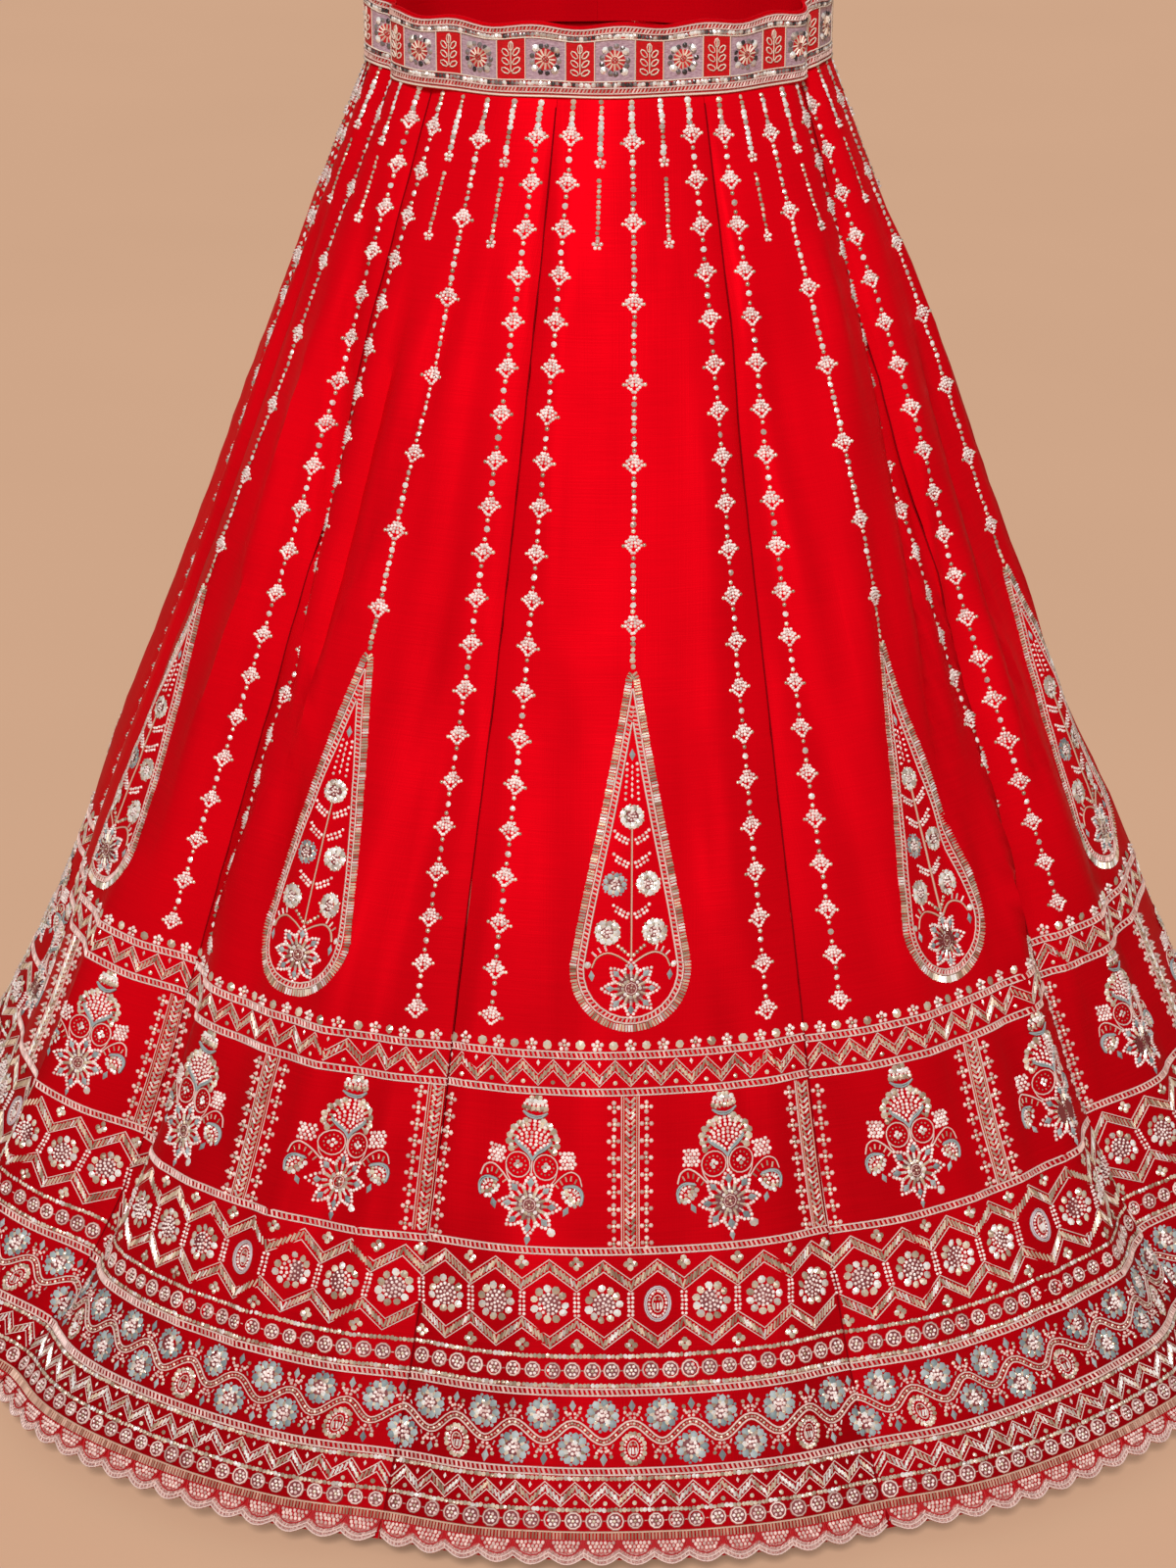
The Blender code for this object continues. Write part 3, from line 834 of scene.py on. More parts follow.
def both_sides(made, kind, places, turn_deg=90.0, long=1.0, wide=None):
    """Beads at (x, s) places on the right, and their mirror images on the left."""
    x, s = np.array(places, float).T * MM
    turn = np.radians(turn_deg)
    made.bead(kind, x, s, turn, long, wide)
    made.bead(kind, -x, s, math.pi - turn, long, wide)


def curved(places, steps=3):
    """A smooth line through a few places."""
    places = np.array(places, float)
    knots = np.arange(len(places), dtype=float)
    at = np.linspace(0, len(places) - 1, (len(places) - 1) * steps + 1)
    return np.stack([smooth_through(knots, places[:, k], at) for k in (0, 1)], 1) * MM


def cord_both_sides(made, kind, places, steps=3):
    line = curved(places, steps)
    made.cord(kind, line)
    made.cord(kind, line * [-1, 1])


def oval(made, kind, half_x, half_s, x=0.0, s=0.0, steps=18):
    turn = np.linspace(0, 2 * math.pi, steps + 1)
    made.cord(kind, np.stack([x + half_x * np.cos(turn), s + half_s * np.sin(turn)], 1) * MM)


# %% Lozenge and flowers
def lozenge():
    """Pearls in arcs that open from a foot, with a gilt bead at each side."""
    made = Drawing()
    arcs = ((1.3, 2, 45), (3.7, 2, 42), (6.1, 4, 43), (8.6, 6, 43), (10.9, 6, 30), (13.2, 3, 10))
    fan_of(made, "pearl", 7.0, arcs, 0.98)
    both_sides(made, "seed", [(8.0, 0.4)], long=1.2)
    return made


def bead_flower(radius_mm, petals=5, kind="pearl"):
    made = Drawing()
    ring_of(made, kind, petals, radius_mm * 0.60, radius_mm / 4.3, -90)
    made.bead("seed", 0, 0, long=radius_mm / 4.2)
    return made


def sequin_flower(radius_mm):
    """Eleven sequins, dull and bright, round a heap of pearls."""
    made = Drawing()
    # painted shade: a dark disc under the heart
    made.bead("ground", 0, 0, long=radius_mm / 8.2)
    x, s, turn = around(11, radius_mm * 0.79)
    bright = np.isin(np.arange(11), (0, 1, 4, 5, 8))
    for kind, chosen in (("sequin", bright), ("gilt", ~bright)):
        made.bead(kind, x[chosen], s[chosen], turn[chosen], radius_mm / 9.8)
    for count, reach in ((13, 0.50), (8, 0.30), (3, 0.11)):
        ring_of(made, "pearl", count, radius_mm * reach, radius_mm / 14.5, 30 * reach)
    return made


def rimmed_flower(radius_mm, petal="petal"):
    """Nine lobed petals and a heart of pearls and sequins."""
    made = Drawing()
    r = radius_mm
    # painted shade: a dark disc under the heart
    made.bead("ground", 0, 0, long=r / 8.0)
    ring_of(made, petal, 9, r * 0.72, r / 10.2, wide=r / 13.5 if petal == "petal" else None)
    ring_of(made, "blue_seed" if petal == "petal" else "seed", 9, r * 0.96, r / 9.5, 20)
    ring_of(made, "gilt", 9, r * 0.60, r / 13, 20)
    ring_of(made, "sequin", 3, r * 0.46, r / 10, 45)
    ring_of(made, "pearl", 7, r * 0.29, r / 11)
    ring_of(made, "pearl", 2, r * 0.08, r / 11)
    return made


def lotus(radius_mm):
    """Eight pointed petals edged with pearls, bugles that ray out between them, and a copper heart."""
    made, petal = Drawing(), Drawing()
    r = radius_mm
    # painted shade: a dark disc under the heart
    made.bead("ground", 0, 0, long=r / 9.5)
    petal.bead("pearl", r * MM, 0, long=r / 22)
    for reach, half in ((0.89, 0.09), (0.78, 0.155), (0.67, 0.20), (0.56, 0.215)):
        petal.bead("pearl", [reach * r * MM] * 2, np.array([-half, half]) * r * MM, long=r / 22)
    petal.bead("leaf", 0.73 * r * MM, 0, long=r / 20, wide=r / 16)
    petal.bead("silver_bugle", 0.50 * r * MM, 0, long=r / 27, wide=r / 18)
    for k in range(8):
        made.place(petal, 0, 0, turn=math.radians(45 * k - 90))
    ring_of(made, "bugle", 8, r * 0.45, r / 22, -67.5, r / 15)
    ring_of(made, "rose_pearl", 8, r * 0.63, r / 22, -67.5)
    ring_of(made, "sequin", 8, r * 0.30, r / 26, -45)
    ring_of(made, "gilt", 8, r * 0.29, r / 28, -67.5)
    oval(made, "thin", 0.2 * r, 0.2 * r, steps=8)
    ring_of(made, "copper", 5, r * 0.11, r / 21)
    made.bead("seed", 0, 0, long=r / 20)
    return made


def heap(columns, rows):
    """Pearls close together, each row half a step over from the last."""
    made, pitch_mm = Drawing(), 2.9
    i, j = (g.ravel() for g in np.meshgrid(range(columns), range(rows)))
    x = (i - (columns - 1) / 2 + 0.5 * (j % 2) - 0.25) * pitch_mm
    made.bead("pearl", x * MM, (j - (rows - 1) / 2) * 0.87 * pitch_mm * MM, long=1.05)
    return made


def oval_medallion(rim_kind):
    made = Drawing()
    if rim_kind == "gilt":
        x, s, turn = around(18, 1.0)
        made.bead("gilt", 8.6 * x, 10.8 * s, turn, 0.9)
    else:
        oval(made, rim_kind, 9.4, 12.2)
        oval(made, rim_kind, 8.2, 11.0)
    x, s, turn = around(20, 1.0)
    made.bead("pearl", 6.2 * x, 8.8 * s, turn, 0.78)
    oval(made, "thin", 3.9, 6.0, steps=12)
    made.bead("copper", np.array([-1.4, 1.4]) * MM, [-3.2 * MM] * 2, long=1.1)
    made.bead("silver_bugle", np.array([-2.3, 0, 2.3]) * MM, [1.6 * MM] * 3, math.pi / 2, 0.95)
    return made


print("a lozenge has", lozenge().count(), "beads and a lotus", lotus(20).count())

# %% [markdown]
# ## Lines and bands
# Borders are lines that run right round the skirt: ladder chains of two cords with stitches between, zigzags of
# leaning bugles, and rows of sequins. A panel's share of a row gets a whole number of repeats, so that the row meets
# itself at each seam. Bright silver beads come in short runs among duller ones: partly the real mix of metals, and
# partly painted glints for the beads that catch the light.


# %% Rows across a panel
def spaced(s, pitch_mm):
    """Places across a panel, a whole number of them, and their real pitch."""
    half = half_at(s)
    count = int(round(2 * half / (pitch_mm * MM)))
    pitch = 2 * half / count
    return (np.arange(count) + 0.5) * pitch - half, pitch


def glint_runs(count, level, phase):
    """Which of a row's beads get the bright finish, as painted glints. A lower level gives more of them."""
    k = np.arange(count)
    return np.sin(0.43 * k + phase) + np.sin(1.21 * k + 2.3 * phase) > level


def across_line(drawing, kind, s):
    half, step_mm = half_at(s), 9.0
    x = np.linspace(-half, half, int(2 * half / (step_mm * MM)) + 1)
    drawing.cord(kind, np.stack([x, np.full(x.shape, s)], 1))


def ladder_row(drawing, s_mm):
    s, wide_mm = s_mm * MM, 4.6
    across_line(drawing, "cord", s - wide_mm / 2 * MM)
    across_line(drawing, "cord", s + wide_mm / 2 * MM)
    x, _ = spaced(s, 3.5)
    drawing.bead("stitch", x, s, math.radians(70), long=wide_mm / 3.9)


def sequin_row(drawing, s_mm):
    x, _ = spaced(s_mm * MM, 2.9)
    bright = glint_runs(len(x), 0.9, s_mm)
    drawing.bead("gilt", x[~bright], s_mm * MM, long=0.8)
    drawing.bead("sequin", x[bright], s_mm * MM, long=0.85)


def stroke(drawing, corners, tall_mm, level):
    """A zigzag of leaning bugles between two cords. Corners are (x, s) pairs, in order of x."""
    corners, pitch_mm, lean = np.asarray(corners, float), 2.3, 0.3
    x = np.arange(corners[0, 0] + pitch_mm / 2 * MM, corners[-1, 0], pitch_mm * MM)
    s, after = (np.interp(x + away, *corners.T) for away in (0.0, 1e-5))
    turn = math.pi / 2 - lean * np.sign(after - s)
    bright = glint_runs(len(x), level, 1e3 * corners[0, 1])
    for kind, chosen in (("bugle", ~bright), ("silver_bugle", bright)):
        drawing.bead(kind, x[chosen], s[chosen], turn[chosen], (tall_mm - 1.8) / 5.0, 0.95)
    for side in (-0.5, 0.5):
        drawing.cord("thin", corners + [0, side * tall_mm * MM])


def zigzag_row(drawing, top_mm, bottom_mm, period_mm, tall_mm, level):
    x, pitch = spaced((top_mm + bottom_mm) / 2 * MM, period_mm)
    high, low = (top_mm + tall_mm / 2) * MM, (bottom_mm - tall_mm / 2) * MM
    corners = []
    for centre in x:
        corners += [(centre - pitch / 2, low), (centre, high)]
    corners.append((x[-1] + pitch / 2, low))
    stroke(drawing, corners, tall_mm, level)
    drawing.bead("gilt", x, (bottom_mm - 2.6) * MM, long=0.8)
    drawing.bead("pearl_leaf", x + pitch / 2, (top_mm + 2.4) * MM, math.pi / 2, 0.85)


def medallion_row(drawing, s_mm, pitch_mm):
    x, pitch = spaced(s_mm * MM, pitch_mm)
    rosette = Drawing()
    # painted shade: a dark disc inside the ring
    rosette.bead("ground", 0, 0, long=1.05)
    rosette.bead("ring", 0, 0)
    ring_of(rosette, "pearl", 6, 2.9, 0.92)
    rosette.bead("seed", 0, 0, long=1.2)
    drawing.place(rosette, x, s_mm * MM)
    drawing.bead("stitch", x[1:] - pitch / 2, s_mm * MM, 0.0, long=0.5)


# %% [markdown]
# ## Strings of beads
# Each panel carries three long strings, of which the middle one ends in a drop motif, and two short ones. The outer
# strings keep close to the seams, so they spread apart towards the hem just as the panel does.

# %% Strings
RAY = 0.12  # how fast half a panel widens on its way down


def long_string(drawing, q, first_mm, pitch_mm, count, between):
    s = (first_mm + pitch_mm * np.arange(count)) * MM
    drawing.place(lozenge(), q * half_at(s), s, turn=-q * RAY, grow=0.94)
    inner = np.linspace(9.6, pitch_mm - 9.6, between)
    for k, away in enumerate(inner):
        at = s[:-1] + away * MM
        kind, grow = (("seed", 1.4), ("sequin", 1.1))[k % 2]
        drawing.bead(kind, q * half_at(at), at, long=grow)
    lead = np.arange(2.6, first_mm - 8.0, 4.0) * MM
    bright = glint_runs(len(lead), 0.2, q * 9)
    drawing.bead("gilt", q * half_at(lead[~bright]), lead[~bright], long=1.0)
    drawing.bead("sequin", q * half_at(lead[bright]), lead[bright], long=1.15)


def short_string(drawing, q):
    tassel = bead_flower(4.6, 5)
    for start, end, level in ((2, 42, -0.2), (58, 100, 2.0)):
        s = np.arange(start, end, 3.7)
        bright = glint_runs(len(s), level, 3 * q)
        for kind, chosen, grow in (("sequin", bright, 1.1), ("gilt", ~bright, 0.8)):
            drawing.bead(kind, q * half_at(s[chosen] * MM), s[chosen] * MM, long=grow)
        drawing.place(tassel, q * half_at(end * MM), (end + 3.5) * MM)


# %% [markdown]
# ## The drop motif
# The drop is a long tear shape: a border of bugles set across its outline, a ladder chain inside that, and a
# flowering stem. Its outline is a table of half widths down the flank, and a circle for the bowl.

# %% Outline of the drop
DROP_TIP = 404.0
FLANK_COLUMNS = ("below_tip_mm", "half_width_mm")
DROP_FLANK = np.array(((0, 0.4), (3, 3.2), (12, 5.6), (25, 7.9), (61, 14.3), (103, 22.4), (148, 31.8), (180, 38.2),
                       (205, 42.6)))
BOWL_RADIUS, BOWL_CENTRE = 43.6, 214.0


def drop_outline(inset_mm, step_mm):
    """Points and outward turns round the drop, from its tip down the right side and back up, in metres."""
    down = np.linspace(0, DROP_FLANK[-1, 0], 80)
    flank = np.stack([smooth_through(*DROP_FLANK.T, down), down], 1)
    sweep = np.linspace(math.asin((DROP_FLANK[-1, 0] - BOWL_CENTRE) / BOWL_RADIUS), math.pi / 2, 40)[1:]
    bowl = np.stack([BOWL_RADIUS * np.cos(sweep), BOWL_CENTRE + BOWL_RADIUS * np.sin(sweep)], 1)
    half = np.concatenate([flank, bowl])
    tangent = np.gradient(half, axis=0)
    tangent /= np.linalg.norm(tangent, axis=1, keepdims=True)
    outward = np.stack([tangent[:, 1], -tangent[:, 0]], 1)
    moved = half - outward * inset_mm
    clear = (moved[:, 0] > 0.3) | (half[:, 1] > BOWL_CENTRE)
    moved, outward = moved[clear], outward[clear]
    moved, outward = (np.concatenate([side, side[::-1] * [-1, 1]]) for side in (moved, outward))
    run = np.concatenate([[0], np.cumsum(np.hypot(*np.diff(moved, axis=0).T))])
    at = np.linspace(0, run[-1], int(run[-1] / step_mm) + 1)
    x, s, out_x, out_s = (np.interp(at, run, values) for values in (*moved.T, *outward.T))
    return x * MM, s * MM, np.arctan2(out_s, out_x)


# %% The flowering stem inside it
def leaf_pair(made, s_mm):
    """Two leaves, each of two rows of pearls that rise from the stem."""
    for row, count in ((0, 5), (1, 4)):
        step = np.arange(count)
        places = np.stack([2.6 + 1.2 * row + 2.5 * step, s_mm + 2.6 * row - 1.2 * step - 0.1 * step**2], 1)
        both_sides(made, "pearl", places, long=0.92)


def flowering_stem():
    made = Drawing()
    made.bead("leaf", 0, 61 * MM, math.pi / 2, long=1.25, wide=1.1)
    sprig = [(3.5 + 0.2 * k, 67.5 + 4.2 * k) for k in range(7)]
    both_sides(made, "pearl", sprig, long=0.85)
    made.bead("pearl_leaf", np.zeros(6), (69.5 + 4.2 * np.arange(6)) * MM, math.pi / 2, 0.7)
    made.place(rimmed_flower(8.6, "silver_petal"), 0, 105 * MM)
    made.cord("stem", curved([(0, 113), (0, 140), (0, 170), (0, 205)], 2))
    for s in (121.5, 138.0, 174.0):
        leaf_pair(made, s)
    made.place(rimmed_flower(8.8, "petal"), -12 * MM, 153 * MM)
    made.place(rimmed_flower(8.8, "silver_petal"), 12 * MM, 153 * MM)
    made.place(rimmed_flower(9.2, "silver_petal"), np.array([-17.0, 17.0]) * MM, 187 * MM)
    both_sides(made, "seed", [(2 + 2.4 * k, 203 - 2.1 * k) for k in range(4)], long=1.2)
    cord_both_sides(made, "stem", [(1.5, 209), (9, 204), (17, 201.5), (24.5, 205), (28, 212)])
    both_sides(made, "silver_bugle", [(18.5, 198.2), (22.6, 199.8), (26.4, 202.6)], np.array([112, 122, 135]), 0.85)
    both_sides(made, "sequin", [(31, 210.5)], long=1.2)
    both_sides(made, "leaf", [(28, 218)], 95, 1.2, 1.2)
    made.place(lotus(20.5), 0, 227 * MM)
    return made


def drop_motif():
    made = Drawing()
    x, s, turn = drop_outline(2.4, 2.25)
    bright = glint_runs(len(x), 0.6, 4.0)
    for kind, chosen in (("bugle", ~bright), ("silver_bugle", bright)):
        made.bead(kind, x[chosen], s[chosen], turn[chosen], 0.94, 1.02)
    for inset in (5.6, 9.6):
        x, s, _ = drop_outline(inset, 8.0)
        made.cord("cord", np.stack([x, s], 1))
    x, s, turn = drop_outline(7.6, 3.2)
    made.bead("stitch", x, s, turn + 0.3, long=1.05)
    made.place(flowering_stem(), 0, 0)
    return made


print("the drop motif has", drop_motif().count(), "beads")

# %% [markdown]
# ## Bouquets and pillars
# Below the first border, upright pillars part the cloth into fields, and each field holds one bouquet: a lotus at
# the foot, two curled stems, drooping bell flowers at the sides, and an onion-shaped flower with a bud at the top.


# %% Bouquet
def bell_flower():
    made = Drawing()
    fan_of(made, "pearl", -5.0, ((-3.6, 2, 30), (-6.4, 4, 44)), 0.9)
    fan_of(made, "gilt", -5.0, ((-9.0, 5, 44),), 0.85)
    fan_of(made, "sequin", -5.0, ((-11.6, 5, 32),), 0.85)
    made.bead("silver_bugle", np.array([-2.4, 0, 2.4]) * MM, [-2.6 * MM] * 3, np.radians([70, 90, 110]), 0.75)
    lip = np.array([(-8.6, 1), (-5.0, -4.2), (0, -6.2), (5.0, -4.2), (8.6, 1)])
    for drop in (0.0, 1.3):
        made.cord("blue", curved(lip + (0, drop), 2))
    return made


def bouquet():
    made = Drawing()
    bud = (("gilt", 3, -50.6), ("sequin", 5, -48.2), ("pearl", 6, -45.8), ("gilt", 6, -43.4), ("copper", 5, -41.4))
    for kind, count, s in bud:
        made.bead(kind, (np.arange(count) - (count - 1) / 2) * 3.1 * MM, s * MM, long=0.95)
    for drop in (0.0, 1.4):
        cord_both_sides(made, "blue", [(9.0, -40.6), (4.8, -38.4 + drop), (0, -37.4 + drop)], 2)
    fan_of(made, "pearl", -9.0, ((3.4, 2, 36), (6.1, 3, 38), (8.8, 4, 40), (11.5, 6, 44), (14.2, 8, 48), (16.9, 8, 43),
                                 (19.6, 7, 33), (22.3, 5, 20), (25.0, 3, 8)), 0.98)
    petals = [(6.5, -33.8), (10.8, -31.4), (14.8, -27.8), (17.4, -22.8), (17.4, -17.8), (15.2, -13.0)]
    both_sides(made, "gilt", petals, long=1.25)
    between = [(0.98 * (a[0] + b[0]) / 2, (a[1] + b[1]) / 2) for a, b in zip(petals, petals[1:])]
    both_sides(made, "sequin", between, long=0.8)
    inside = [(0.80 * x, -20 + 0.80 * (s + 20)) for x, s in petals]
    both_sides(made, "bugle", inside, np.array([115, 138, 152, 175, 15, 40]), 0.6, 1.2)
    sepal = np.array([(13.4, -20.6), (8.2, -15.6), (3.4, -12.4), (0, -7.6)])
    for drop in (0.0, 1.5):
        cord_both_sides(made, "blue", sepal + (0, drop), 2)
    made.cord("cord", curved([(0, -7), (0, -2), (0, 4)], 1))
    for side in (-1, 1):
        oval(made, "cord", 8.8, 9.0, side * 9.9, -2.2, 16)
        eye = Drawing()
        ring_of(eye, "copper", 12, 5.6, 0.62)
        ring_of(eye, "sequin", 4, 2.0, 0.72)
        made.place(eye, side * 9.9 * MM, -2.2 * MM)
        made.place(heap(4, 5), side * 25.5 * MM, -8.2 * MM, turn=-side * 0.1)
        made.place(bell_flower(), side * 31.2 * MM, 15.4 * MM, turn=side * 0.75)
    cord_both_sides(made, "thin", [(18.4, 0), (17.0, 6), (13.0, 11)], 2)
    cord_both_sides(made, "cord", [(36.6, 9), (34.0, 2.0), (28.2, -0.6), (21.8, 3.4), (15.6, 10.6)], 3)
    under_stem = [(32.0, 5.6), (28.6, 3.9), (25.0, 4.8), (21.8, 7.4), (19.0, 10.6)]
    both_sides(made, "bugle", under_stem, np.array([110, 92, 72, 55, 45]), 0.72)
    both_sides(made, "leaf", [(26.2, 27.4)], 112, 1.15, 1.15)
    made.place(lotus(21.8), 0, 25.5 * MM)
    made.bead("leaf", 0, 49.5 * MM, math.pi / 2, long=1.25, wide=1.1)
    made.bead("sequin", 16.5 * MM, 43 * MM, long=1.5)
    return made


# %% Pillar
PILLAR_TALL = 107.0


def pillar():
    """An upright band with a flower on each side at every step. Its top is at s = 0."""
    made = Drawing()
    rail = np.linspace(0, PILLAR_TALL, 10)
    for x in (-6.2, -4.6, 4.6, 6.2):
        made.cord("rose" if abs(x) < 5 else "thin", np.stack([np.full(rail.shape, x), rail], 1) * MM)
    s = np.arange(3.0, PILLAR_TALL - 2, 3.9)
    for k, kind in enumerate(("silver_bugle", "bugle")):
        made.bead(kind, np.full(len(s[k::2]), -2.0 * MM), s[k::2] * MM, math.radians(50), 0.92, 1.15)
        made.bead(kind, np.full(len(s[1 - k::2]), 2.0 * MM), s[1 - k::2] * MM, math.radians(130), 0.92, 1.15)
    s = 8.0 + 12.0 * np.arange(9)
    for x in (-11.6, 11.6):
        made.place(bead_flower(5.4, 4, "rose_pearl"), x * MM, s * MM)
    return made


print("a bouquet has", bouquet().count(), "beads and a pillar", pillar().count())

# %% [markdown]
# ## The deep borders
# Three deep borders follow: a band of six-sided cells with a flower in each, a waving stem with blue-rimmed flowers
# on both sides, and the hem with its pearl half-discs.


# %% Cells
def cell_band(drawing):
    mid = 854.3
    x, pitch = spaced(mid * MM, 37.6)
    for way, level in ((-1, 1.35), (1, 0.7)):
        corners = []
        for centre in x:
            corners += [(centre - pitch / 2, (mid + 13.1 * way) * MM), (centre, (mid + 27.1 * way) * MM)]
        corners.append((x[-1] + pitch / 2, (mid + 13.1 * way) * MM))
        stroke(drawing, corners, 8.2, level)
    rods = Drawing()
    both_sides(rods, "pearl", [(1.4, (k - 2.5) * 3.0) for k in range(6)], long=0.88)
    drawing.place(rods, x - pitch / 2, mid * MM)
    special = np.arange(len(x)) == len(x) // 2
    drawing.place(sequin_flower(13.8), x[~special], mid * MM)
    drawing.place(oval_medallion("grey"), x[special], mid * MM)
    clover = Drawing()
    ring_of(clover, "gilt", 4, 2.7, 1.05)
    for rise in (-28.5, 28.5):
        drawing.place(clover, x - pitch / 2, (mid + rise) * MM)
        drawing.bead("sequin", x - pitch / 2 + (1 if rise < 0 else -1) * 2.2 * MM, (mid + rise) * MM, long=1.0)


# %% Waving stem
def wave_band(drawing):
    mid = 943.5
    x, pitch = spaced(mid * MM, 43.8)
    half = half_at(mid * MM)
    run = np.linspace(-half, half, len(x) * 12 + 1)
    phase = 2 * math.pi * (run - x[0]) / pitch
    wave = (mid + 6.4 * np.cos(phase)) * MM
    slope = np.arctan(-6.4 * MM * 2 * math.pi / pitch * np.sin(phase))
    for side in (-2.1, 2.1):
        drawing.cord("cord", np.stack([run - side * MM * np.sin(slope), wave + side * MM * np.cos(slope)], 1))
    fine = np.arange(-half, half, 2.2 * MM)
    at, lean = np.interp(fine, run, wave), np.interp(fine, run, slope)
    drawing.bead("copper", fine[::2], at[::2], lean[::2], 0.95)
    drawing.bead("seed", fine[1::2], at[1::2], lean[1::2], 1.05)
    drawing.place(rimmed_flower(11.5), x, 931.6 * MM)
    crest = x - pitch / 2
    is_oval = np.arange(len(x)) % 3 == 1
    drawing.place(rimmed_flower(11.5), crest[~is_oval], 954.9 * MM)
    drawing.place(oval_medallion("gilt"), crest[is_oval], 954.6 * MM, grow=0.95)
    sprig = Drawing()
    sprig.bead("leaf", 0, -9.6 * MM, math.pi / 2, long=1.25, wide=1.3)
    both_sides(sprig, "rose_pearl", [(1.6, -1.4), (3.4, -3.4), (1.5, -4.2), (4.9, -5.2)], long=0.88)
    both_sides(sprig, "silver_bugle", [(6.6, -0.6)], 65, 0.6)
    both_sides(sprig, "gilt", [(5.4, -8.0)], long=0.7)
    drawing.place(sprig, crest, 934.6 * MM)
    drawing.place(sprig, x, 952.4 * MM, turn=math.pi)


# %% Hem
def hem_band(drawing):
    half = half_at(LACE_TOP)
    pitch = 2 * half / SCALLOPS
    centres = (np.arange(SCALLOPS) + 0.5) * pitch - half
    across_line(drawing, "brown", 1012.2 * MM)
    x, _ = spaced(1015 * MM, 2.4)
    drawing.bead("bar", x, 1015.2 * MM, math.pi / 2)
    disc = Drawing()
    for kind, count, s in (("rose_pearl", 7, 1.4), ("rose_pearl", 6, 4.0), ("rose_pearl", 5, 6.6)):
        disc.bead(kind, (np.arange(count) - (count - 1) / 2) * 2.9 * MM, s * MM, math.pi / 2, 1.08, 0.92)
    turn = np.radians(np.linspace(0, 180, 9))
    disc.cord("red", np.stack([11.2 * MM * np.cos(turn), 10.4 * MM * np.sin(turn)], 1))
    drawing.place(disc, centres, 1018.2 * MM)

    def edge(x):
        return LACE_NOTCH + (LACE_POINT - LACE_NOTCH) * np.abs(np.sin(math.pi * (x + half) / pitch))

    run = np.linspace(-half, half, SCALLOPS * 8 + 1)
    for above in (0.6, 3.4):
        drawing.cord("cord", np.stack([run, edge(run) - above * MM], 1))
    net = np.linspace(-half, half, SCALLOPS * 9 + 1)[:-1]
    drawing.bead("stitch", net, edge(net) - 2.0 * MM, math.radians(80), long=0.8)
    drawing.bead("stitch", net, edge(net) - 4.6 * MM, math.radians(125), long=0.8)


# %% [markdown]
# ## The whole drawing
# All the bands come together on one flat drawing, which is then laid on each panel. The seams of the real skirt never
# match perfectly, so each panel's drawing sits a millimetre or two higher or lower than its neighbours'.


# %% Drawing of a panel
def panel_drawing():
    made = Drawing()
    for q in (-0.78, 0.78):
        long_string(made, q, 27, 33, 20, 3)
    long_string(made, 0.0, 31, 57, 7, 9)
    tail = np.arange(382.5, 403, 4.0) * MM
    made.bead("gilt", np.zeros(len(tail)), tail, long=0.95)
    for q in (-0.4, 0.4):
        short_string(made, q)
    made.place(drop_motif(), 0, DROP_TIP * MM)
    x, pitch = spaced(673 * MM, 22.7)
    made.place(bead_flower(5.0), x, 671.5 * MM)
    made.bead("coin", x + pitch / 2, 671.5 * MM)
    for s_mm in (678.5, 704.5, 817.0, 915.5, 970.5):
        ladder_row(made, s_mm)
    zigzag_row(made, 682, 700.6, 21.3, 7.6, 1.6)
    made.place(pillar(), [-half_at(760 * MM), 0.0], 707.2 * MM, turn=[RAY, 0.0])
    for q in (-0.5, 0.5):
        made.place(bouquet(), q * half_at(760 * MM), 760 * MM, turn=-q * RAY)
    cell_band(made)
    for s_mm in (890.5, 910.8, 975.2, 996.9):
        sequin_row(made, s_mm)
    medallion_row(made, 900.4, 14.2)
    wave_band(made)
    zigzag_row(made, 977.8, 994.8, 21.3, 7.6, -0.4)
    medallion_row(made, 1004.4, 14.7)
    hem_band(made)
    # painted shadow along each seam, as a dark cord in its groove
    seam = np.linspace(6 * MM, 1012 * MM, 60)
    made.cord("seam", np.stack([half_at(seam), seam], 1))
    return made


drawing = panel_drawing()
print("each panel carries", drawing.count(), "beads")

# %% [markdown]
# ## Panels
# A panel is a thin shell: its outer face is the creased grid, and its inner face lies a cloth's thickness behind.
# The rims join the two, so that the hem and the seams show real edges.


# %% Shells
def shell_faces(rows, columns):
    """Faces of two grids of points and of the four rims between them."""
    inner, faces = rows * columns, []
    for column in range(columns - 1):
        for row in range(rows - 1):
            a = row * columns + column
            b, c, d = a + 1, a + 1 + columns, a + columns
            faces += [(a, d, c, b), (inner + a, inner + b, inner + c, inner + d)]
        last = (rows - 1) * columns + column
        faces.append((column, column + 1, inner + column + 1, inner + column))
        faces.append((last, inner + last, inner + last + 1, last + 1))
    right = columns - 1
    for row in range(rows - 1):
        a, b = row * columns, (row + 1) * columns
        faces.append((a, inner + a, inner + b, b))
        faces.append((a + right, b + right, inner + b + right, inner + a + right))
    return faces


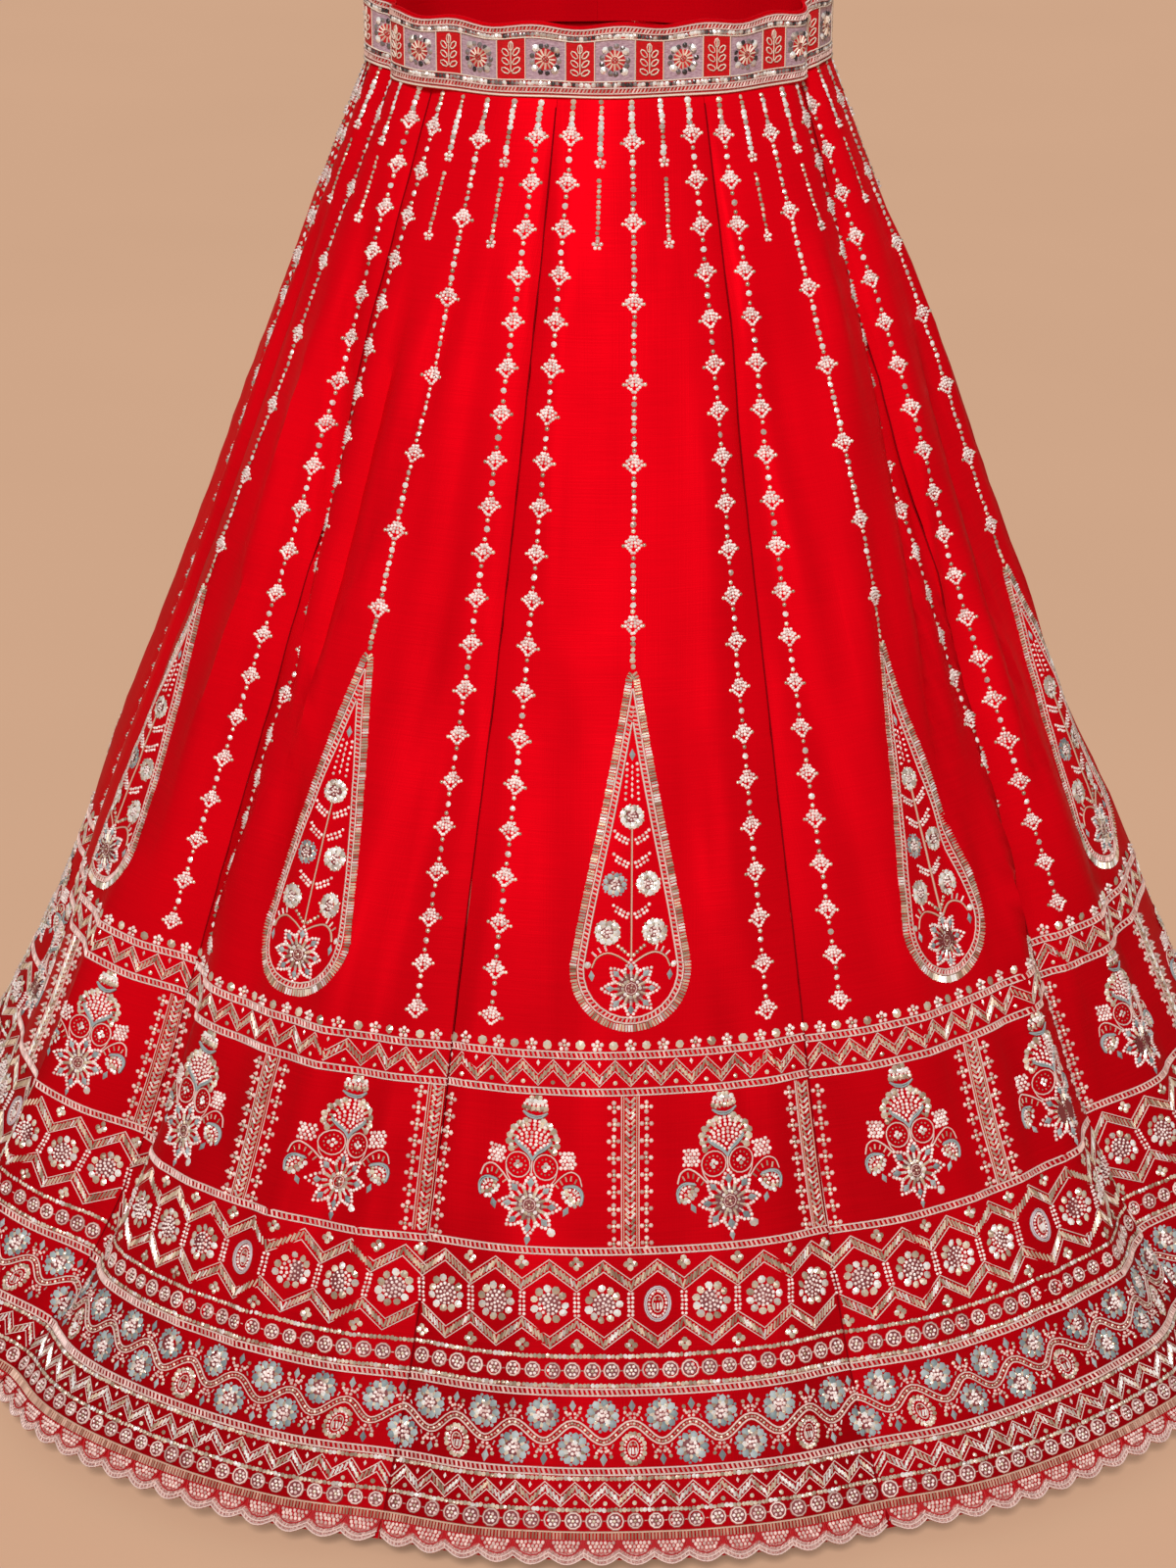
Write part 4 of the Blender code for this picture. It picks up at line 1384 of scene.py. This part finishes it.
def shell(name, outer, inner, across, down, finish):
    """A closed shell between two grids of points, with lengths across and down the cloth as its UV map."""
    rows, columns, _ = outer.shape
    mesh = bpy.data.meshes.new(name)
    points = np.concatenate([outer.reshape(-1, 3), inner.reshape(-1, 3)])
    mesh.from_pydata(points.tolist(), [], shell_faces(rows, columns))
    lengths = np.stack([np.broadcast_to(length, (rows, columns)) for length in (across, down)], -1).reshape(-1, 2)
    lengths = np.concatenate([lengths, lengths])
    corners = np.empty(len(mesh.loops), dtype=np.int32)
    mesh.loops.foreach_get("vertex_index", corners)
    mesh.uv_layers.new(name="cloth").data.foreach_set("uv", lengths[corners].ravel().astype(np.float32))
    mesh.materials.append(finish)
    mesh.shade_smooth()
    mesh.set_sharp_from_angle(angle=math.radians(60))
    return linked(name, mesh)


# %% Make the panels
SILK_WALL = 1.2 * MM
panels = []
for index in range(PANELS):
    outer = grids[index]
    inner = outer - grid_normal[index] * SILK_WALL
    across = column_share[None, :] * panel_half_widths[index][:, None] + index * 0.41
    panels.append(shell(f"silk_panel_{index + 1:02d}", outer, inner, across, row_length[:, None], silk))

# %% Sew the beads on each panel
SLIP_MM = (0.0, 1.6, -1.2, 0.9, -1.8, 1.3, -0.7, 1.7, -1.4, 1.0)
beadwork = []
for index in range(PANELS):
    slip = SLIP_MM[index] * MM

    def lay(x, s, index=index, slip=slip):
        return lay_on_panel(index, x, s + slip * np.clip(1.5 * (1.01 - s) / 0.3, 0, 1))

    beadwork.append(sewn(f"beadwork_{index + 1:02d}", drawing, lay, 11 + index))
faces = [len(piece.data.polygons) for piece in beadwork]
print("beadwork faces", faces)

# %% [markdown]
# ## Hem lace
# The scalloped edging is a separate strip that is sewn over the panel's hem, so its points hang below the silk.

# %% Lace strips
NET_FROM, NET_TO = 7 * MM, 10 * MM  # where the red top of the strip turns into net
lace_finish, tree, shader = new_finish("rose_gold_lace")
cloth, _, down = on_the_cloth(tree)
net = stretched_noise(tree, cloth, (700, 700, 1), 1.0, 1.0)
netting = ramp(tree, net, (0.34, 0.08, 0.07), (0.63, 0.37, 0.32), 0.34, 0.60)
low_part = node(tree, "ShaderNodeMapRange")
set_inputs(low_part, {"From Min": NET_FROM, "From Max": NET_TO})
tree.links.new(down, low_part.inputs["Value"])
lace_colour = blended(tree, low_part.outputs["Result"], (0.42, 0.0015, 0.005), netting)
tree.links.new(lace_colour, shader.inputs["Base Color"])
bumped(tree, shader, (net,), 0.4 * MM)
set_inputs(shader, {"Roughness": 0.6, "Specular IOR Level": 0.2})

# %% Cut the strips
LACE_WALL, UNDER_BEADS = 1.0 * MM, 0.3 * MM
STEPS_PER_SCALLOP = 8
LACE_GAP = 0.9985  # each strip is a little narrower than its panel, so that two don't touch
LACE_TALL, LACE_MEAN_TALL = 17 * MM, 15.5 * MM
laces = []
for index in range(PANELS):
    half = half_at(LACE_TOP)
    x = np.linspace(-half, half, SCALLOPS * STEPS_PER_SCALLOP + 1) * LACE_GAP
    low = LACE_NOTCH + (LACE_POINT - LACE_NOTCH) * np.abs(np.sin(math.pi * SCALLOPS * (x + half) / (2 * half)))
    rows = []
    for share in (0.0, 0.5, 1.0):
        s = LACE_TOP - 0.5 * MM + (low - LACE_TOP + 0.5 * MM) * share
        point, _, _, normal = lay_on_panel(index, x, s)
        rows.append((point - normal * UNDER_BEADS, point - normal * (UNDER_BEADS + LACE_WALL)))
    outer, inner = (np.stack([row[k] for row in rows]) for k in (0, 1))
    down = np.array([[0.0], [8 * MM], [LACE_TALL]])
    laces.append(shell(f"hem_edging_{index + 1:02d}", outer, inner, x[None, :], down, lace_finish))
print("lace strips", len(laces))

# %% [markdown]
# ## Waistband
# The band is a stiff strip with its own drawing: squares of lilac-grey cloth with a rosette, and red fields with a
# silver sprig, between ladder chains. It is laid out by its length round the waist, from the middle of the front.

# %% Surface of the band
BAND_STEPS = 240
band_angles = np.linspace(-math.pi, math.pi, BAND_STEPS + 1)


def band_point(angle, height):
    angle, height = np.broadcast_arrays(np.asarray(angle, float), np.asarray(height, float))
    side, front = half_widths(np.zeros(angle.shape))
    move = band_offset(angle)
    z = BAND_BOTTOM + band_lift(angle) + height * (1 + TOP_WAVE / BAND_HEIGHT * np.sin(TOP_WAVE_TURNS * angle))
    return np.stack([(side + move) * np.sin(angle), -(front + move) * np.cos(angle), z], axis=-1)


band_line = band_point(band_angles, 0.0)
band_run = np.concatenate([[0], np.cumsum(np.linalg.norm(np.diff(band_line[:, :2], axis=0), axis=1))])
BAND_ROUND = band_run[-1]
band_run = band_run - np.interp(0.0, band_angles, band_run)


def lay_on_band(x, up):
    x = (x - band_run[0]) % BAND_ROUND + band_run[0]
    angle = np.interp(x, band_run, band_angles)
    point = band_point(angle, up)
    across = band_point(angle + 0.004, up) - band_point(angle - 0.004, up)
    across /= np.linalg.norm(across, axis=1, keepdims=True)
    normal = np.cross(np.array([0, 0, -1.0])[None, :], across)
    normal /= np.linalg.norm(normal, axis=1, keepdims=True)
    return point, across, np.cross(normal, across), normal


print("the waistband is %.3f m round" % BAND_ROUND)

# %% Ground of the band
REPEATS = 19
SQUARE_HALF, SQUARE_FOOT, SQUARE_TOP = 14.4 * MM, 12.5 * MM, 41.5 * MM
FIRST_SQUARE = 12 * MM
period = BAND_ROUND / REPEATS
band_finish, tree, shader = new_finish("band_ground")
cloth, run_round, height_up = on_the_cloth(tree)
from_square = math_node(tree, "PINGPONG", run_round, period / 2)
beside = math_node(tree, "LESS_THAN", from_square, SQUARE_HALF)
above = math_node(tree, "GREATER_THAN", height_up, SQUARE_FOOT)
below = math_node(tree, "LESS_THAN", height_up, SQUARE_TOP)
inside = math_node(tree, "MULTIPLY", math_node(tree, "MULTIPLY", above, below), beside)
weave = stretched_noise(tree, cloth, (300, 900, 1), 1.0, 2.0)
red = ramp(tree, weave, (0.50, 0.002, 0.005), (0.70, 0.004, 0.010))
grey = ramp(tree, weave, (0.34, 0.20, 0.26), (0.62, 0.46, 0.52))
tree.links.new(blended(tree, inside, red, grey), shader.inputs["Base Color"])
bumped(tree, shader, (weave,), 0.4 * MM)
set_inputs(shader, {"Roughness": 0.5, "Specular Tint": (1.0, 0.5, 0.5, 1)})
print("band ground has", REPEATS, "squares of pitch %.1f mm" % (period / MM))


# %% Band, facing and piping
def band_shell(name, heights, out, wall, finish):
    angles = band_angles * (1 - 1e-4)
    grids_of = []
    for move in (out, out - wall):
        rows = []
        for height in heights:
            point, _, _, normal = lay_on_band(np.interp(angles, band_angles, band_run), np.full(angles.shape, height))
            rows.append(point + normal * move)
        grids_of.append(np.stack(rows))
    across = np.interp(angles, band_angles, band_run)[None, :] - FIRST_SQUARE
    return shell(name, *grids_of, across, np.array(heights)[:, None], finish)


BAND_WALL, FACING_BEHIND, FACING_SHOWS = 1.6 * MM, 1.9 * MM, 1.5 * MM
levels = tuple(share * BAND_HEIGHT for share in (1.0, 0.75, 0.5, 0.25, 0.0))
waistband = band_shell("band_cloth", levels, 0.0, BAND_WALL, band_finish)
levels = (BAND_HEIGHT + FACING_SHOWS, 0.5 * BAND_HEIGHT, 0.0)
facing = band_shell("band_facing", levels, -FACING_BEHIND, SILK_WALL, silk)


def band_rosette():
    """Pale rays on red in a dark ring of sequins, for a lilac-grey square."""
    made = Drawing()
    made.bead("red_ground", 0, 0, long=1.55)
    ring_of(made, "ray", 12, 4.9)
    ring_of(made, "copper", 4, 1.2, 0.8)
    ring_of(made, "smoke", 13, 9.6, 0.95)
    # four larger bright sequins in the ring, partly painted glints
    ring_of(made, "sequin", 4, 10.0, 1.35, 41)
    side = np.linspace(-14.2, 14.2, 4)
    for x in (-14.4, 14.4):
        made.cord("pale", np.stack([np.full(4, x), side], 1) * MM)
    return made


def band_sprig():
    """A stem with looped leaves, couched in pale cord on a red field."""
    made = Drawing()
    made.cord("pale", np.array([(0, -12.5), (0, -4), (0, 3), (0, 9)]) * MM)
    turn = np.linspace(0, 2 * math.pi, 8)
    loop = Drawing()
    loop.cord("pale", np.stack([1.75 * np.cos(turn), 3.3 * np.sin(turn)], 1) * MM)
    for up, lean, sides in ((-9.2, 0, (0,)), (-5.0, 0.7, (1, -1)), (1.4, 0.85, (1, -1)), (8.0, 1.05, (1, -1))):
        for side in sides:
            made.place(loop, 3.9 * side * MM, up * MM, turn=lean * side)
    return made


def band_drawing():
    made = Drawing()
    x = np.arange(REPEATS) * period
    made.place(band_rosette(), x, 27 * MM)
    made.place(band_sprig(), x + period / 2, 27 * MM, turn=math.pi)
    run = np.linspace(0, BAND_ROUND, 130)
    for up, kind in ((49.8, "cord"), (46.0, "cord"), (41.6, "pale"), (12.4, "pale"), (3.9, "cord"), (7.7, "cord")):
        made.cord(kind, np.stack([run, np.full(run.shape, up * MM)], 1))
    ties = np.arange(0, BAND_ROUND, 2.7 * MM)
    dots = np.arange(0, BAND_ROUND, 2.9 * MM)
    for up in (47.9, 5.8):
        made.bead("stitch", ties, up * MM, math.radians(65), long=0.95)
    for up, phase in ((43.7, 1.0), (10.0, 3.0)):
        bright = glint_runs(len(dots), -0.1, phase)
        made.bead("smoke", dots[~bright], up * MM, long=0.78)
        made.bead("sequin", dots[bright], up * MM, long=0.9)
    return made


def lay_from_first_square(x, up):
    return lay_on_band(x + FIRST_SQUARE, up)


band_beads = sewn("beadwork_band", band_drawing(), lay_from_first_square, 5)
piping_line = Drawing()
run = np.linspace(0, BAND_ROUND, 200)
piping_line.cord("piping", np.stack([run, np.full(run.shape, 1.4 * MM)], 1))
piping = sewn("band_piping", piping_line, lay_on_band, 6)
print("band beads", band_drawing().count())

# %% [markdown]
# ## Attach the pieces
# Each piece rides on the frame's one body and stands in for the solids that it covers, which are
# hidden.

for index in range(PANELS):
    tag = f"{index + 1:02d}"
    for piece, slot in ((panels[index], "silk"), (beadwork[index], "embroidered_band"), (laces[index], "lace")):
        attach(piece, "root")
    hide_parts(f"kali_{tag}")
    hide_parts(f"hem_lace_{tag}")
for piece, slot, solid in ((waistband, "embroidered_band", "waistband"), (facing, "silk", "waist_facing"),
                           (piping, "gold_cord", "waist_piping")):
    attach(piece, "root")
    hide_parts(solid)
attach(band_beads, "root")
for shape in SHAPES.values():
    bpy.data.objects.remove(shape)

# %% [markdown]
# ## Floor, light and camera
# The skirt stands on a plain sand-coloured floor that reaches beyond the view. One broad sun above the camera and an
# even sky light it, because embroidery needs many small glints and few deep shadows.

# %% Floor
FLOOR_BELOW = 8 * MM
SAND = ((0.40, 0.244, 0.158), (0.41, 0.250, 0.162))
GLOW, GLOW_FROM, GLOW_TO = 0.773, 0.50, 0.56  # its strength, and where it starts, away from the skirt's axis
floor_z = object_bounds()[0][2] - FLOOR_BELOW
floor_mesh = bpy.data.meshes.new("floor")
corners = [(-14, -10, floor_z), (14, -10, floor_z), (14, 22, floor_z), (-14, 22, floor_z)]
floor_mesh.from_pydata(corners, [], [(0, 1, 2, 3)])
floor_finish, tree, shader = new_finish("plain_floor")
place = node(tree, "ShaderNodeTexCoord").outputs["Object"]
grain = stretched_noise(tree, place, (1, 1, 1), 1.5, 2.0)
for name in ("Base Color", "Emission Color"):
    tree.links.new(ramp(tree, grain, *SAND), shader.inputs[name])
flat = node(tree, "ShaderNodeVectorMath", operation="MULTIPLY")
tree.links.new(place, flat.inputs[0])
flat.inputs[1].default_value = (1, 1, 0)
reach = node(tree, "ShaderNodeVectorMath", operation="LENGTH")
tree.links.new(flat.outputs["Vector"], reach.inputs[0])
glow = node(tree, "ShaderNodeMapRange")
set_inputs(glow, {"From Min": GLOW_FROM, "From Max": GLOW_TO, "To Max": GLOW})
tree.links.new(reach.outputs["Value"], glow.inputs["Value"])
tree.links.new(glow.outputs["Result"], shader.inputs["Emission Strength"])
set_inputs(shader, {"Roughness": 0.9, "Specular IOR Level": 0.0})
floor_mesh.materials.append(floor_finish)
floor = linked("floor", floor_mesh)
print("the floor lies %.0f mm below the hem" % (FLOOR_BELOW / MM))


# %% Light
def sun(name, height_deg, round_deg, strength, spread_deg):
    light = bpy.data.lights.new(name, "SUN")
    light.energy, light.angle = strength, math.radians(spread_deg)
    linked(name, light).rotation_euler = (math.radians(90 - height_deg), 0, math.radians(round_deg))


sun("key", 44, -5, 2.5, 14)
world = bpy.data.worlds.new("studio")
world.use_nodes = True
world.node_tree.nodes["Background"].inputs["Color"].default_value = (1, 1, 1, 1)
world.node_tree.nodes["Background"].inputs["Strength"].default_value = 0.22
bpy.context.scene.world = world
bpy.context.scene.view_settings.view_transform = "Standard"

# %% Camera
CAMERA_DISTANCE, CAMERA_HEIGHT, LOOK_DOWN = 2.659, 0.546, math.radians(23.47)
camera_data = bpy.data.cameras.new("camera")
camera_data.lens, camera_data.sensor_width, camera_data.sensor_fit = 82.66, 36.0, "AUTO"
camera = linked("camera", camera_data)
camera.location = (-0.007, -CAMERA_DISTANCE, CAMERA_HEIGHT)
camera.rotation_euler = (math.pi / 2 - LOOK_DOWN, 0, 0)
bpy.context.scene.camera = camera

# %% Sizes, and the end
meshes = [thing.data for thing in bpy.data.objects if thing.type == "MESH"]
print("triangles", sum(len(mesh.loops) - 2 * len(mesh.polygons) for mesh in meshes))
